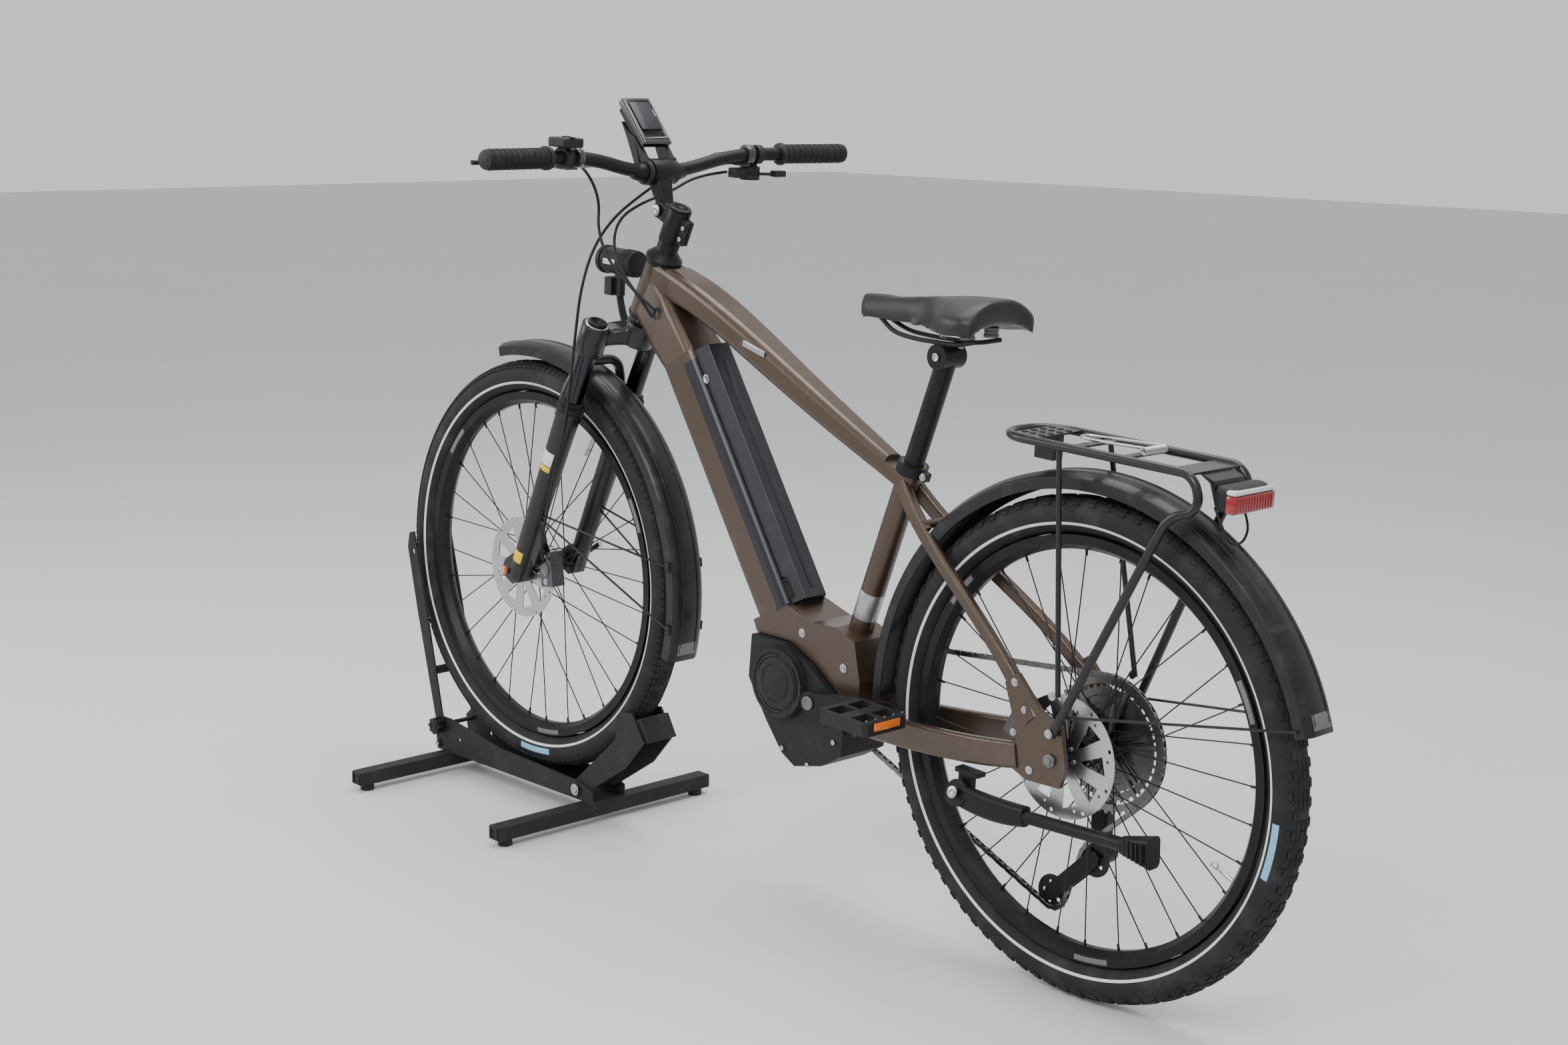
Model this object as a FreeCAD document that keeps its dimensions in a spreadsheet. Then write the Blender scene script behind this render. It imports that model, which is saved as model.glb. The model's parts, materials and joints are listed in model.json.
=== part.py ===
import FreeCAD, Part
import math
import os
import Sketcher
from FreeCAD import Placement, Rotation, Vector

# Electric bicycle held by its front wheel in a floor stand.
# Row frame: +X forward, +Y to the rider's left, +Z up, origin on the floor at the middle of the whole.
# Bike frame: origin on the rear axle, pitched nose-up because the stand lifts the front wheel.
# Fork frame: origin on the steering axis nearest to the front axle, Z up along the steering axis.
# Stand frame: origin on the floor below the front axle.
# All sizes are in millimetres and live in the sheet, one named cell each.

SIZES = {
    # Wheels
    "tyre_radius": 370.0,
    "tyre_width": 57.0,
    "tyre_wall": 4.0,
    "rim_outer_radius": 312.0,
    "rim_inner_radius": 290.0,
    "rim_width": 32.0,
    "spoke_count": 32,
    "spoke_radius": 1.0,
    "flange_radius": 29.0,
    "front_flange_half": 29.0,
    "rear_flange_half": 27.0,
    "rotor_radius": 90.0,
    "rotor_thickness": 2.0,
    "front_rotor_side": 44.0,
    "rear_rotor_side": 52.0,
    "wheel_gap": 0.3,
    # Whole bike
    "wheelbase": 1256.0,
    "wheel_lift": 66.3,
    "row_shift": 618.4,
    # Fork and steering
    "head_lean": 22.5,
    "fork_rake": 52.0,
    "leg_forward": 36.0,
    "leg_side": 66.0,
    "leg_radius": 22.0,
    "leg_top": 345.0,
    "stanchion_radius": 16.0,
    "slide_gap": 0.3,
    "fork_travel": 55.0,
    "crown_low": 480.0,
    "crown_high": 528.0,
    "shoulder_radius": 25.0,
    "steerer_radius": 14.3,
    "head_tube_low": 546.0,
    "head_tube_high": 654.0,
    "head_tube_radius": 28.0,
    "front_axle_radius": 6.0,
    "front_hub_half": 50.0,
    # Cockpit
    "stem_base_low": 690.0,
    "stem_base_high": 748.0,
    "stem_base_radius": 20.0,
    "stem_pivot_forward": 30.0,
    "stem_pivot_high": 731.0,
    "bar_forward": 75.0,
    "bar_high": 777.0,
    "bar_clamp_radius": 15.9,
    "bar_radius": 11.1,
    "bar_half": 379.0,
    "bar_rise": 27.0,
    "bar_sweep": 42.0,
    "grip_radius": 16.5,
    "grip_length": 130.0,
    # Frame
    "bracket_forward": 480.0,
    "bracket_drop": 42.0,
    "down_tube_width": 84.0,
    "down_tube_depth": 78.0,
    "battery_width": 66.0,
    "battery_cover_height": 25.0,
    "battery_length": 440.0,
    "seat_tube_lean": 17.5,
    "seat_tube_length": 322.0,
    "seat_tube_radius": 19.5,
    "seatpost_radius": 15.8,
    "seatpost_show": 172.0,
    "seatpost_inside": 120.0,
    "seatpost_lower": 60.0,
    "seatpost_raise": 20.0,
    "stay_width": 16.0,
    "dropout_half": 74.5,
    "dropout_thickness": 8.0,
    # Drive
    "chain_side": 45.0,
    "ring_radius": 80.9,
    "cog_radius": 101.1,
    "pulley_radius": 24.3,
    "tooth_height": 3.0,
    "tooth_thickness": 1.8,
    "crank_length": 172.0,
    "crank_side": 72.0,
    "crank_thickness": 13.0,
    "motor_left_half": 58.0,
    "motor_right_half": 39.0,
    "pedal_width": 92.0,
    "pedal_length": 98.0,
    "pedal_height": 20.0,
    # Fenders, carrier and seat
    "fender_radius": 402.0,
    "fender_width": 66.0,
    "fender_thickness": 2.5,
    "carrier_tube_radius": 6.5,
    "carrier_half": 56.0,
    "carrier_height": 441.0,
    "saddle_length": 278.0,
    "saddle_width": 156.0,
    # Stand
    "stand_bar_width": 30.0,
    "stand_bar_height": 25.0,
    "stand_bar_length": 480.0,
    "stand_foot_height": 12.0,
    "stand_rear": 172.0,
    "stand_front": 247.0,
    "channel_half": 38.0,
    "plate_thickness": 3.0,
    "tyre_gap": 1.0,
}


class Measure:
    """A length with its value and the sheet expression that it comes from."""

    def __init__(self, value, text):
        self.value = value
        self.text = text

    def __float__(self):
        return self.value

    def __add__(self, other):
        return Measure(self.value + float(other), f"({self.text} + {text_of(other)})")

    def __radd__(self, other):
        return Measure(float(other) + self.value, f"({text_of(other)} + {self.text})")

    def __sub__(self, other):
        return Measure(self.value - float(other), f"({self.text} - {text_of(other)})")

    def __rsub__(self, other):
        return Measure(float(other) - self.value, f"({text_of(other)} - {self.text})")

    def __mul__(self, other):
        return Measure(self.value * float(other), f"({self.text} * {text_of(other)})")

    def __rmul__(self, other):
        return self * other

    def __truediv__(self, other):
        return Measure(self.value / float(other), f"({self.text} / {text_of(other)})")

    def __neg__(self):
        return Measure(-self.value, f"(0 - {self.text})")


def text_of(number):
    """The expression text of a Measure or of a plain number."""
    if isinstance(number, Measure):
        return number.text
    return f"({float(number)!r})"


class Sizes:
    """The sheet's cells, read back by name as Measures."""

    def __init__(self, document):
        sheet = document.addObject("Spreadsheet::Sheet", "sizes")
        for row, (name, value) in enumerate(SIZES.items(), start=1):
            sheet.set(f"A{row}", name)
            sheet.set(f"B{row}", str(value))
            sheet.setAlias(f"B{row}", name)
        document.recompute()
        for name in SIZES:
            setattr(self, name, Measure(float(sheet.get(name)), f"sizes.{name}"))


doc = FreeCAD.newDocument("ebike_on_stand")
size = Sizes(doc)


# ---------------------------------------------------------------- frames

def value(name):
    """A size from the sheet as a plain number."""
    return float(getattr(size, name))


def shift(x=0.0, y=0.0, z=0.0):
    """A placement that only moves."""
    return Placement(Vector(float(x), float(y), float(z)), Rotation())


def turn(axis, angle):
    """A placement that only turns, by degrees."""
    return Placement(Vector(), Rotation(Vector(*axis), float(angle)))


TO_Y = turn((1, 0, 0), -90)
TO_X = turn((0, 1, 0), 90)
PITCH = math.degrees(math.asin(value("wheel_lift") / value("wheelbase")))
BIKE = shift(-size.row_shift, 0, size.tyre_radius) * turn((0, 1, 0), -PITCH)
FRONT_AXLE = BIKE * shift(size.wheelbase)
LEAN_BACK = value("head_lean")
LEAN = math.radians(LEAN_BACK)
FORK_IN_BIKE = shift(
    value("wheelbase") - value("fork_rake") * math.cos(LEAN), 0, -value("fork_rake") * math.sin(LEAN)
) * turn((0, 1, 0), -value("head_lean"))
FORK = BIKE * FORK_IN_BIKE
STAND = shift(FRONT_AXLE.Base.x)
BRACKET = BIKE * shift(size.bracket_forward, 0, -size.bracket_drop)


def from_fork(forward, high, side=0.0):
    """A point of the fork frame, given in the bike frame."""
    return FORK_IN_BIKE.multVec(Vector(float(forward), float(side), float(high)))


def from_bracket(forward, high, side=0.0):
    """A point given from the crank axis, in the bike frame."""
    return Vector(value("bracket_forward") + forward, side, high - value("bracket_drop"))


# ---------------------------------------------------------------- document objects

def bind(thing, name, amount):
    """Sets a property, through the sheet when the amount is a Measure."""
    if isinstance(amount, Measure):
        thing.setExpression(name, amount.text)
    else:
        setattr(thing, name, amount)


def cylinder(label, radius, length, place):
    """A cylinder from its place along its own Z."""
    made = doc.addObject("Part::Cylinder", label)
    bind(made, "Radius", radius)
    bind(made, "Height", length)
    made.Placement = place
    return made


def across(label, radius, low, high, x, z):
    """A cylinder along Y, from side low to side high."""
    return cylinder(label, radius, high - low, shift(x, float(low), z) * TO_Y)


def box(label, length, width, height, place):
    """A box centred on its place in X and Y, standing on it in Z."""
    made = doc.addObject("Part::Box", label)
    bind(made, "Length", length)
    bind(made, "Width", width)
    bind(made, "Height", height)
    made.Placement = place * shift(-float(length) / 2, -float(width) / 2)
    return made


def fused(label, members, place=None):
    """One solid out of several."""
    made = doc.addObject("Part::MultiFuse", label)
    made.Shapes = members
    made.Refine = True
    made.Placement = place or Placement()
    return made


def grouped(label, members, place=None):
    """Separate solids kept together as one sub-part."""
    made = doc.addObject("Part::Compound", label)
    made.Links = members
    made.Placement = place or Placement()
    return made


def cut(label, base, tools, place=None):
    """The base less its tools."""
    made = doc.addObject("Part::Cut", label)
    made.Base = base
    made.Tool = tools[0] if len(tools) == 1 else fused(label + "_tools", tools)
    made.Placement = place or Placement()
    return made


def solid(label, shape, place=None):
    """A sub-part whose shape is worked out in code from the sheet's values."""
    made = doc.addObject("Part::Feature", label)
    made.Shape = shape
    made.Placement = (place or Placement()) * shape.Placement
    return made


def new_body(label, place=None):
    """An empty body at its place."""
    body = doc.addObject("PartDesign::Body", label)
    body.Placement = place or Placement()
    return body


def new_sketch(body, role, name, offset=0.0):
    """A sketch on one of the body's own planes, moved along that plane's normal."""
    sketch = body.newObject("Sketcher::SketchObject", name)
    plane = next(item for item in body.Origin.OriginFeatures if item.Role == role)
    sketch.AttachmentSupport = [(plane, "")]
    sketch.MapMode = "FlatFace"
    if isinstance(offset, Measure):
        sketch.setExpression("AttachmentOffset.Base.z", offset.text)
    elif offset:
        sketch.AttachmentOffset = shift(0, 0, offset)
    return sketch


def pin(sketch, kind, index, vertex, amount):
    """Ties one coordinate of a sketch point to its amount."""
    number = sketch.addConstraint(Sketcher.Constraint(kind, -1, 1, index, vertex, float(amount)))
    if isinstance(amount, Measure):
        sketch.setExpression(f"Constraints[{number}]", amount.text)


def outline(sketch, points):
    """A closed outline of straight sides with every corner tied to its amounts."""
    first = sketch.GeometryCount
    count = len(points)
    corners = [Vector(float(x), float(y), 0) for x, y in points]
    for index in range(count):
        sketch.addGeometry(Part.LineSegment(corners[index], corners[(index + 1) % count]))
    for index in range(count):
        following = first + (index + 1) % count
        sketch.addConstraint(Sketcher.Constraint("Coincident", first + index, 2, following, 1))
    for index, (x, y) in enumerate(points):
        pin(sketch, "DistanceX", first + index, 1, x)
        pin(sketch, "DistanceY", first + index, 1, y)


def ring(sketch, x, y, radius):
    """A full circle tied to its centre and radius."""
    index = sketch.addGeometry(Part.Circle(Vector(float(x), float(y), 0), Vector(0, 0, 1), float(radius)))
    pin(sketch, "DistanceX", index, 3, x)
    pin(sketch, "DistanceY", index, 3, y)
    number = sketch.addConstraint(Sketcher.Constraint("Radius", index, float(radius)))
    if isinstance(radius, Measure):
        sketch.setExpression(f"Constraints[{number}]", radius.text)


def turned(label, role, points, place=None, angle=360.0):
    """A body of revolution about the vertical axis of its sketch."""
    body = new_body(label, place)
    sketch = new_sketch(body, role, label + "_profile")
    outline(sketch, points)
    revolution = body.newObject("PartDesign::Revolution", label + "_turn")
    revolution.Profile = sketch
    revolution.ReferenceAxis = (sketch, ["V_Axis"])
    revolution.Angle = angle
    return body


def slab(label, points, low, high, place=None, holes=()):
    """A flat piece with its outline in the XZ plane, from side low to side high."""
    body = new_body(label, place)
    sketch = new_sketch(body, "XZ_Plane", label + "_outline", -high)
    outline(sketch, points)
    for x, z, radius in holes:
        ring(sketch, x, z, radius)
    pad = body.newObject("PartDesign::Pad", label + "_pad")
    pad.Profile = sketch
    bind(pad, "Length", high - low)
    return body


def hollow(body, points, low, high):
    """Cuts an XZ outline out of a body, from side low to side high."""
    name = body.Label + "_hollow"
    sketch = new_sketch(body, "XZ_Plane", name + "_outline", -low)
    outline(sketch, points)
    pocket = body.newObject("PartDesign::Pocket", name)
    pocket.Profile = sketch
    bind(pocket, "Length", high - low)
    return body


# ---------------------------------------------------------------- shapes worked out in code

def rod(start, end, radius):
    """A round bar between two points."""
    run = end - start
    return Part.makeCylinder(float(radius), run.Length, start, run)


def route(points):
    """Straight runs through the points with a tangent arc at each inner point."""
    edges = []
    radii = []
    start = points[0]
    for before, corner, after in zip(points, points[1:], points[2:]):
        inward = (before - corner).normalize()
        outward = (after - corner).normalize()
        turn_angle = math.pi - inward.getAngle(outward)
        reach = 0.45 * min((before - corner).Length, (after - corner).Length)
        entry = corner + inward * reach
        leave = corner + outward * reach
        radii.append(reach / math.tan(turn_angle / 2))
        sagitta = radii[-1] * (1 / math.cos(turn_angle / 2) - 1)
        middle = corner + (inward + outward).normalize() * sagitta
        edges.append(Part.LineSegment(start, entry).toShape())
        edges.append(Part.Arc(entry, middle, leave).toShape())
        start = leave
    edges.append(Part.LineSegment(start, points[-1]).toShape())
    return Part.Wire(edges), radii


def tube(points, radius, wall=0.0):
    """A round tube along a route, solid unless it has a wall."""
    path, _ = route(points)
    start = points[0]
    heading = points[1] - points[0]
    outside = Part.Wire(Part.makeCircle(float(radius), start, heading))
    swept = path.makePipeShell([outside], True, True)
    if not wall:
        return swept
    inside = Part.Wire(Part.makeCircle(float(radius) - wall, start, heading))
    return swept.cut(path.makePipeShell([inside], True, True))


def section(centre, heading, width, height, corner):
    """A rounded rectangle square to its heading, its width along Y."""
    heading = Vector(heading).normalize()
    side = (Vector(0, 1, 0) - heading * heading.y).normalize()
    up = heading.cross(side).normalize()
    half_width = width / 2 - corner
    half_height = height / 2 - corner
    edges = []
    for number in range(4):
        angle = math.radians(90 * number)
        middle = centre + side * (half_width if number in (0, 3) else -half_width)
        middle = middle + up * (half_height if number in (0, 1) else -half_height)
        knees = [
            middle + side * corner * math.cos(angle + step) + up * corner * math.sin(angle + step)
            for step in (0, math.pi / 4, math.pi / 2)
        ]
        edges.append(Part.Arc(*knees).toShape())
    loop = []
    for number, arc in enumerate(edges):
        following = edges[(number + 1) % 4]
        loop.append(arc)
        loop.append(Part.LineSegment(arc.Vertexes[1].Point, following.Vertexes[0].Point).toShape())
    return Part.Wire(loop)


def loft(sections, ruled=False):
    """A solid through several sections."""
    return Part.makeLoft(sections, True, ruled)


def flat_piece(points, low, high):
    """A flat piece with its outline in the XZ plane, for use inside a worked-out shape."""
    corners = [Vector(x, float(low), z) for x, z in points]
    face = Part.Face(Part.makePolygon(corners + [corners[0]]))
    return face.extrude(Vector(0, float(high) - float(low), 0))


def both_sides(shape):
    """A shape joined with its mirror image across the middle plane."""
    return [shape, shape.mirror(Vector(), Vector(0, 1, 0))]


def united(shapes):
    """One clean solid out of several overlapping ones."""
    return shapes[0].multiFuse(shapes[1:]).removeSplitter()


# ---------------------------------------------------------------- wheels

def tyre(label, place):
    """Tyre: a crowned casing, open towards the rim, that sits on the rim's shoulders."""
    half = size.tyre_width / 2
    seat = size.rim_outer_radius + size.wheel_gap
    wall = size.tyre_wall
    points = [
        (seat, 3 - size.rim_width / 2),
        (seat + 24, -half),
        (size.tyre_radius - 14, -half),
        (size.tyre_radius - 5, 7 - half),
        (size.tyre_radius, 17 - half),
        (size.tyre_radius, half - 17),
        (size.tyre_radius - 5, half - 7),
        (size.tyre_radius - 14, half),
        (seat + 24, half),
        (seat, size.rim_width / 2 - 3),
        (seat, size.rim_width / 2 - 3 - wall),
        (seat + 22, half - wall),
        (size.tyre_radius - 16, half - wall),
        (size.tyre_radius - wall * 2, half - wall - 8),
        (size.tyre_radius - wall * 2, wall + 8 - half),
        (size.tyre_radius - 16, wall - half),
        (seat + 22, wall - half),
        (seat, 3 + wall - size.rim_width / 2),
    ]
    return turned(label, "XY_Plane", points, place)


def rim(label, place):
    """Rim: a double-wall box that narrows towards the hub."""
    half = size.rim_width / 2
    points = [
        (size.rim_inner_radius, 3 - half / 2),
        (size.rim_inner_radius + 8, -half),
        (size.rim_outer_radius, -half),
        (size.rim_outer_radius, 3 - half),
        (size.rim_outer_radius - 6, 3 - half),
        (size.rim_outer_radius - 6, half - 3),
        (size.rim_outer_radius, half - 3),
        (size.rim_outer_radius, half),
        (size.rim_inner_radius + 8, half),
        (size.rim_inner_radius, half / 2 - 3),
    ]
    return turned(label, "XY_Plane", points, place)


def spokes(label, flange_half, place):
    """Crossed spokes between the hub flanges and the rim, each with its nipple end in the rim."""
    count = int(value("spoke_count"))
    rods = []
    for number in range(count):
        side = 1 if number % 2 else -1
        lead = 1 if number % 4 < 2 else -1
        around = 2 * math.pi * (number + 0.5) / count
        hub_angle = around + lead * math.radians(62)
        reach = value("flange_radius") - 2.5
        rim_reach = value("rim_inner_radius") - value("wheel_gap")
        offset = side * (float(flange_half) + 2.6 * lead)
        start = Vector(reach * math.cos(hub_angle), offset, reach * math.sin(hub_angle))
        end = Vector(rim_reach * math.cos(around), side * 3.0, rim_reach * math.sin(around))
        rods.append(rod(start, end, size.spoke_radius))
    return solid(label, Part.makeCompound(rods), place)


def hub(label, flange_half, half, place):
    """Hub shell with two flanges, open for its axle."""
    flange = size.flange_radius - 5
    points = [
        (size.front_axle_radius + size.wheel_gap, -half),
        (13, -half),
        (13, -flange_half - 1.2),
        (flange, -flange_half - 1.2),
        (flange, 1.2 - flange_half),
        (16, 5 - flange_half),
        (16, flange_half - 5),
        (flange, flange_half - 1.2),
        (flange, flange_half + 1.2),
        (13, flange_half + 1.2),
        (13, half),
        (size.front_axle_radius + size.wheel_gap, half),
    ]
    return turned(label, "XY_Plane", points, place)


def rotor(label, side, place):
    """Brake rotor: a disc with a ring of windows and a ring of vent holes."""
    body = new_body(label, place)
    half = size.rotor_thickness / 2
    sketch = new_sketch(body, "XZ_Plane", label + "_outline", -(side + half))
    ring(sketch, 0, 0, size.rotor_radius)
    ring(sketch, 0, 0, 13.1)
    pad = body.newObject("PartDesign::Pad", label + "_pad")
    pad.Profile = sketch
    bind(pad, "Length", size.rotor_thickness)
    doc.recompute()
    windows = new_sketch(body, "XZ_Plane", label + "_window", -(side - half))
    outline(windows, [
        (26, 10),
        (size.rotor_radius - 20, 6),
        (size.rotor_radius - 22, 33),
        (34, 16),
    ])
    ring(windows, size.rotor_radius - 6, 0, 3.2)
    ring(windows, size.rotor_radius - 13, 14, 2.6)
    pocket = body.newObject("PartDesign::Pocket", label + "_windows")
    pocket.Profile = windows
    bind(pocket, "Length", size.rotor_thickness)
    pattern = body.newObject("PartDesign::PolarPattern", label + "_pattern")
    pattern.Originals = [pocket]
    pattern.Axis = (sketch, ["N_Axis"])
    pattern.Angle = 360
    pattern.Occurrences = 9
    body.Tip = pattern
    return body


# ---------------------------------------------------------------- floor stand

def stand_crossbars():
    """Two box tubes across the floor."""
    wall = size.plate_thickness
    bars = []
    for name, x in (("rear", -size.stand_rear), ("front", size.stand_front)):
        place = shift(x, 0, size.stand_foot_height)
        outer = box(f"{name}_bar_outside", size.stand_bar_width, size.stand_bar_length,
                    size.stand_bar_height, place)
        inner = box(f"{name}_bar_inside", size.stand_bar_width - wall * 2, size.stand_bar_length - 6,
                    size.stand_bar_height - wall * 2, place * shift(0, 0, wall))
        bars.append(cut(f"{name}_bar", outer, [inner]))
    return grouped("stand_crossbars", bars, STAND)


def stand_feet():
    """Four turned feet under the ends of the crossbars."""
    feet = []
    reach = value("stand_bar_length") / 2 - 22
    for x in (-value("stand_rear"), value("stand_front")):
        for y in (-reach, reach):
            feet.append(cylinder(f"foot_{len(feet)}", 12.5, size.stand_foot_height, shift(x, y)))
    return grouped("stand_feet", feet, STAND)


def channel_points(low):
    """Side outline of the channel above a given height."""
    return [
        (-size.stand_rear - size.stand_bar_width / 2, low),
        (size.stand_front + size.stand_bar_width, low),
        (size.stand_front + size.stand_bar_width + 8, low + 52),
        (size.stand_front + 22, low + 66),
        (size.stand_front - 12, low + 66),
        (size.stand_front / 3, low + 43),
        (-size.stand_rear + 20, low + 34),
        (-size.stand_rear - size.stand_bar_width / 2, low + 22),
    ]


STAND_DECK = size.stand_foot_height + size.stand_bar_height
HOOP_PIVOT = (size.stand_front + 14, STAND_DECK + 50)
CRADLE_PIVOT = (-size.stand_rear + 26, STAND_DECK + 19)


def stand_channel():
    """Folded channel on the crossbars, with its pivot holes and four plain bolts."""
    body = slab("channel_sheet", channel_points(STAND_DECK), -size.channel_half, size.channel_half)
    inside = size.channel_half - size.plate_thickness
    reach = size.stand_rear + size.stand_front + 60
    hollow(body, [
        (-reach, STAND_DECK + size.plate_thickness),
        (reach, STAND_DECK + size.plate_thickness),
        (reach, STAND_DECK + 90),
        (-reach, STAND_DECK + 90),
    ], -inside, inside)
    holes = [
        across("hoop_pivot_hole", 4.3, -60, 60, *HOOP_PIVOT),
        across("cradle_pivot_hole", 4.3, -60, 60, *CRADLE_PIVOT),
        across("channel_spare_hole", 4.0, -60, 60, size.stand_front - 40, STAND_DECK + 30),
    ]
    bored = cut("bored_channel", body, holes)
    outside = value("channel_half")
    pins = []
    for side in (-1, 1):
        low = outside + 0.1 if side > 0 else -outside - 5.1
        pins.append(across(f"channel_bolt_{side + 1}", 6.5, low, low + 5, size.stand_front + 22, STAND_DECK + 12))
    return grouped("stand_channel", [bored] + pins, STAND)


def tyre_touch(angle, clearance):
    """A point just outside the tyre, by its angle below the front axle's level, in the stand frame."""
    reach = value("tyre_radius") + clearance
    bend = math.radians(angle)
    height = FRONT_AXLE.Base.z
    return reach * math.cos(bend), height - reach * math.sin(bend)


def stand_cradle():
    """Rocking cradle: two arms on the rear pivot, a rest behind the tyre and a turned-up lip."""
    inner = value("channel_half") - value("plate_thickness") - 4.5
    pivot_x = float(CRADLE_PIVOT[0])
    pivot_z = float(CRADLE_PIVOT[1])
    high_x, high_z = tyre_touch(180 - 37, value("tyre_gap"))
    low_x, low_z = tyre_touch(180 - 48, value("tyre_gap"))
    arm = [
        (pivot_x + 12, pivot_z - 8), (pivot_x + 12, pivot_z + 12), (low_x + 4, low_z + 6),
        (high_x + 34, high_z + 8), (high_x + 6, high_z + 12), (high_x - 26, high_z - 34),
        (low_x - 22, low_z - 40), (pivot_x - 12, pivot_z - 8),
    ]
    arms = both_sides(flat_piece(arm, inner, inner + 4.0))
    slope = Vector(high_x - low_x, 0, high_z - low_z).normalize()
    away = Vector(slope.z, 0, -slope.x)
    if away.z > 0:
        away = away * -1
    corners = [Vector(low_x, 0, low_z) - slope * 6, Vector(high_x, 0, high_z) + slope * 8]
    sag = 2.4
    rest = [(point + away * (sag + depth)) for point, depth in
            ((corners[0], 0), (corners[1], 0), (corners[1], 4), (corners[0], 4))]
    rest_plate = flat_piece([(point.x, point.z) for point in rest], -inner - 1, inner + 1)
    tip = corners[1] + away * (sag + 4)
    lip = [tip, tip + away * 40 - slope * 12, tip + away * 42 - slope * 7, tip + slope * 6]
    lip_plate = flat_piece([(point.x, point.z) for point in lip], -inner - 1, inner + 1)
    shape = united(arms + [rest_plate, lip_plate])
    pivot = Part.makeCylinder(4.0, 2 * value("channel_half") + 12,
                              Vector(pivot_x, -value("channel_half") - 6, pivot_z), Vector(0, 1, 0))
    return solid("stand_cradle", united([shape, pivot]), STAND)


def stand_hoop():
    """Front hoop: two flat arms that flank the tyre, joined by a bar that stops it."""
    outer = value("channel_half") + 1.0
    pivot_x = float(HOOP_PIVOT[0])
    pivot_z = float(HOOP_PIVOT[1])
    stop_x, stop_z = tyre_touch(41, value("tyre_gap") + 8)
    lean = Vector(stop_x - pivot_x, 0, stop_z - pivot_z).normalize()
    across_arm = Vector(lean.z, 0, -lean.x)
    foot = Vector(pivot_x, 0, pivot_z)
    length = value("tyre_radius")
    ends = [
        foot - lean * 12 - across_arm * 11, foot - lean * 12 + across_arm * 11,
        foot + lean * length * 0.6 + across_arm * 16, foot + lean * length * 0.93 + across_arm * 15,
        foot + lean * length + across_arm * 2, foot + lean * length - across_arm * 12,
        foot + lean * length * 0.6 - across_arm * 13,
    ]
    arm = flat_piece([(point.x, point.z) for point in ends], outer, outer + 4.0)
    slot = Part.makeCylinder(4.3, 30, Vector(pivot_x, outer - 10, pivot_z), Vector(0, 1, 0))
    lighten = foot + lean * length * 0.9
    hole = Part.makeCylinder(5.0, 30, Vector(lighten.x, outer - 10, lighten.z), Vector(0, 1, 0))
    arms = both_sides(arm.cut(slot).cut(hole))
    stop = Part.makeCylinder(8.0, 2 * outer + 2, Vector(stop_x, -outer - 1, stop_z), Vector(0, 1, 0))
    return solid("stand_hoop", united(arms + [stop]), STAND)


def stand_knob():
    """Star knob on the clamp bolt that runs through the hoop and the channel."""
    x = float(HOOP_PIVOT[0])
    z = float(HOOP_PIVOT[1])
    face = value("channel_half") + 5.2
    head = Part.makeCylinder(13.0, 16, Vector(x, face, z), Vector(0, 1, 0))
    lobes = []
    for number in range(8):
        angle = math.radians(45 * number)
        middle = Vector(x + 13 * math.cos(angle), face, z + 13 * math.sin(angle))
        lobes.append(Part.makeCylinder(3.2, 16, middle, Vector(0, 1, 0)))
    bolt = Part.makeCylinder(4.0, 2 * face + 2, Vector(x, -face - 1, z), Vector(0, 1, 0))
    nut = Part.makeCylinder(8.0, 6, Vector(x, -face - 6.2, z), Vector(0, 1, 0))
    return solid("stand_knob", united([head, bolt, nut] + lobes), STAND)


# ---------------------------------------------------------------- front fork

def fork_lowers():
    """Sliding lower legs with their bores, the arch in front, the dropouts and the brake mount."""
    side = value("leg_side")
    forward = value("leg_forward")
    top = value("leg_top")
    radius = value("leg_radius")
    bore = value("stanchion_radius") + value("slide_gap")
    leg = Part.makeCone(radius - 6, radius, top + 5, Vector(forward, side, -5))
    collar = Part.makeCylinder(radius + 1.5, 14, Vector(forward, side, top - 14))
    foot = flat_piece([
        (forward - 14, 30), (forward - 15, -8), (forward - 4, -18), (value("fork_rake") + 6, -17),
        (value("fork_rake") + 17, -4), (value("fork_rake") + 16, 12), (forward + 18, 34),
    ], value("front_hub_half") + 0.6, side + 10)
    mount = flat_piece([(forward - 12, 58), (forward - 36, 40), (forward - 38, 96), (forward - 12, 120)],
                       value("front_rotor_side") + 15, side + 4)
    left = united([leg, collar, foot, mount])
    right = united([leg, collar, foot]).mirror(Vector(), Vector(0, 1, 0))
    arch = tube([
        Vector(forward + 20, side, top - 22), Vector(forward + 30, side - 6, top + 28),
        Vector(forward + 34, side - 28, value("fender_radius") + 16),
        Vector(forward + 34, 28 - side, value("fender_radius") + 16),
        Vector(forward + 30, 6 - side, top + 28), Vector(forward + 20, -side, top - 22),
    ], 8.5)
    shape = united([left, right, arch])
    for y in (side, -side):
        shape = shape.cut(Part.makeCylinder(bore, top + 60, Vector(forward, y, 78)))
    axle_hole = Part.makeCylinder(value("front_axle_radius") + 0.2, 2 * side + 60,
                                  Vector(value("fork_rake"), -side - 30, 0), Vector(0, 1, 0))
    for y in (side + 10.2, -side - 50.2):
        seat = Part.makeCylinder(9.4, 40, Vector(value("fork_rake"), y, 0), Vector(0, 1, 0))
        shape = shape.cut(seat)
    return solid("fork_lowers", shape.cut(axle_hole), FORK)


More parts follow.
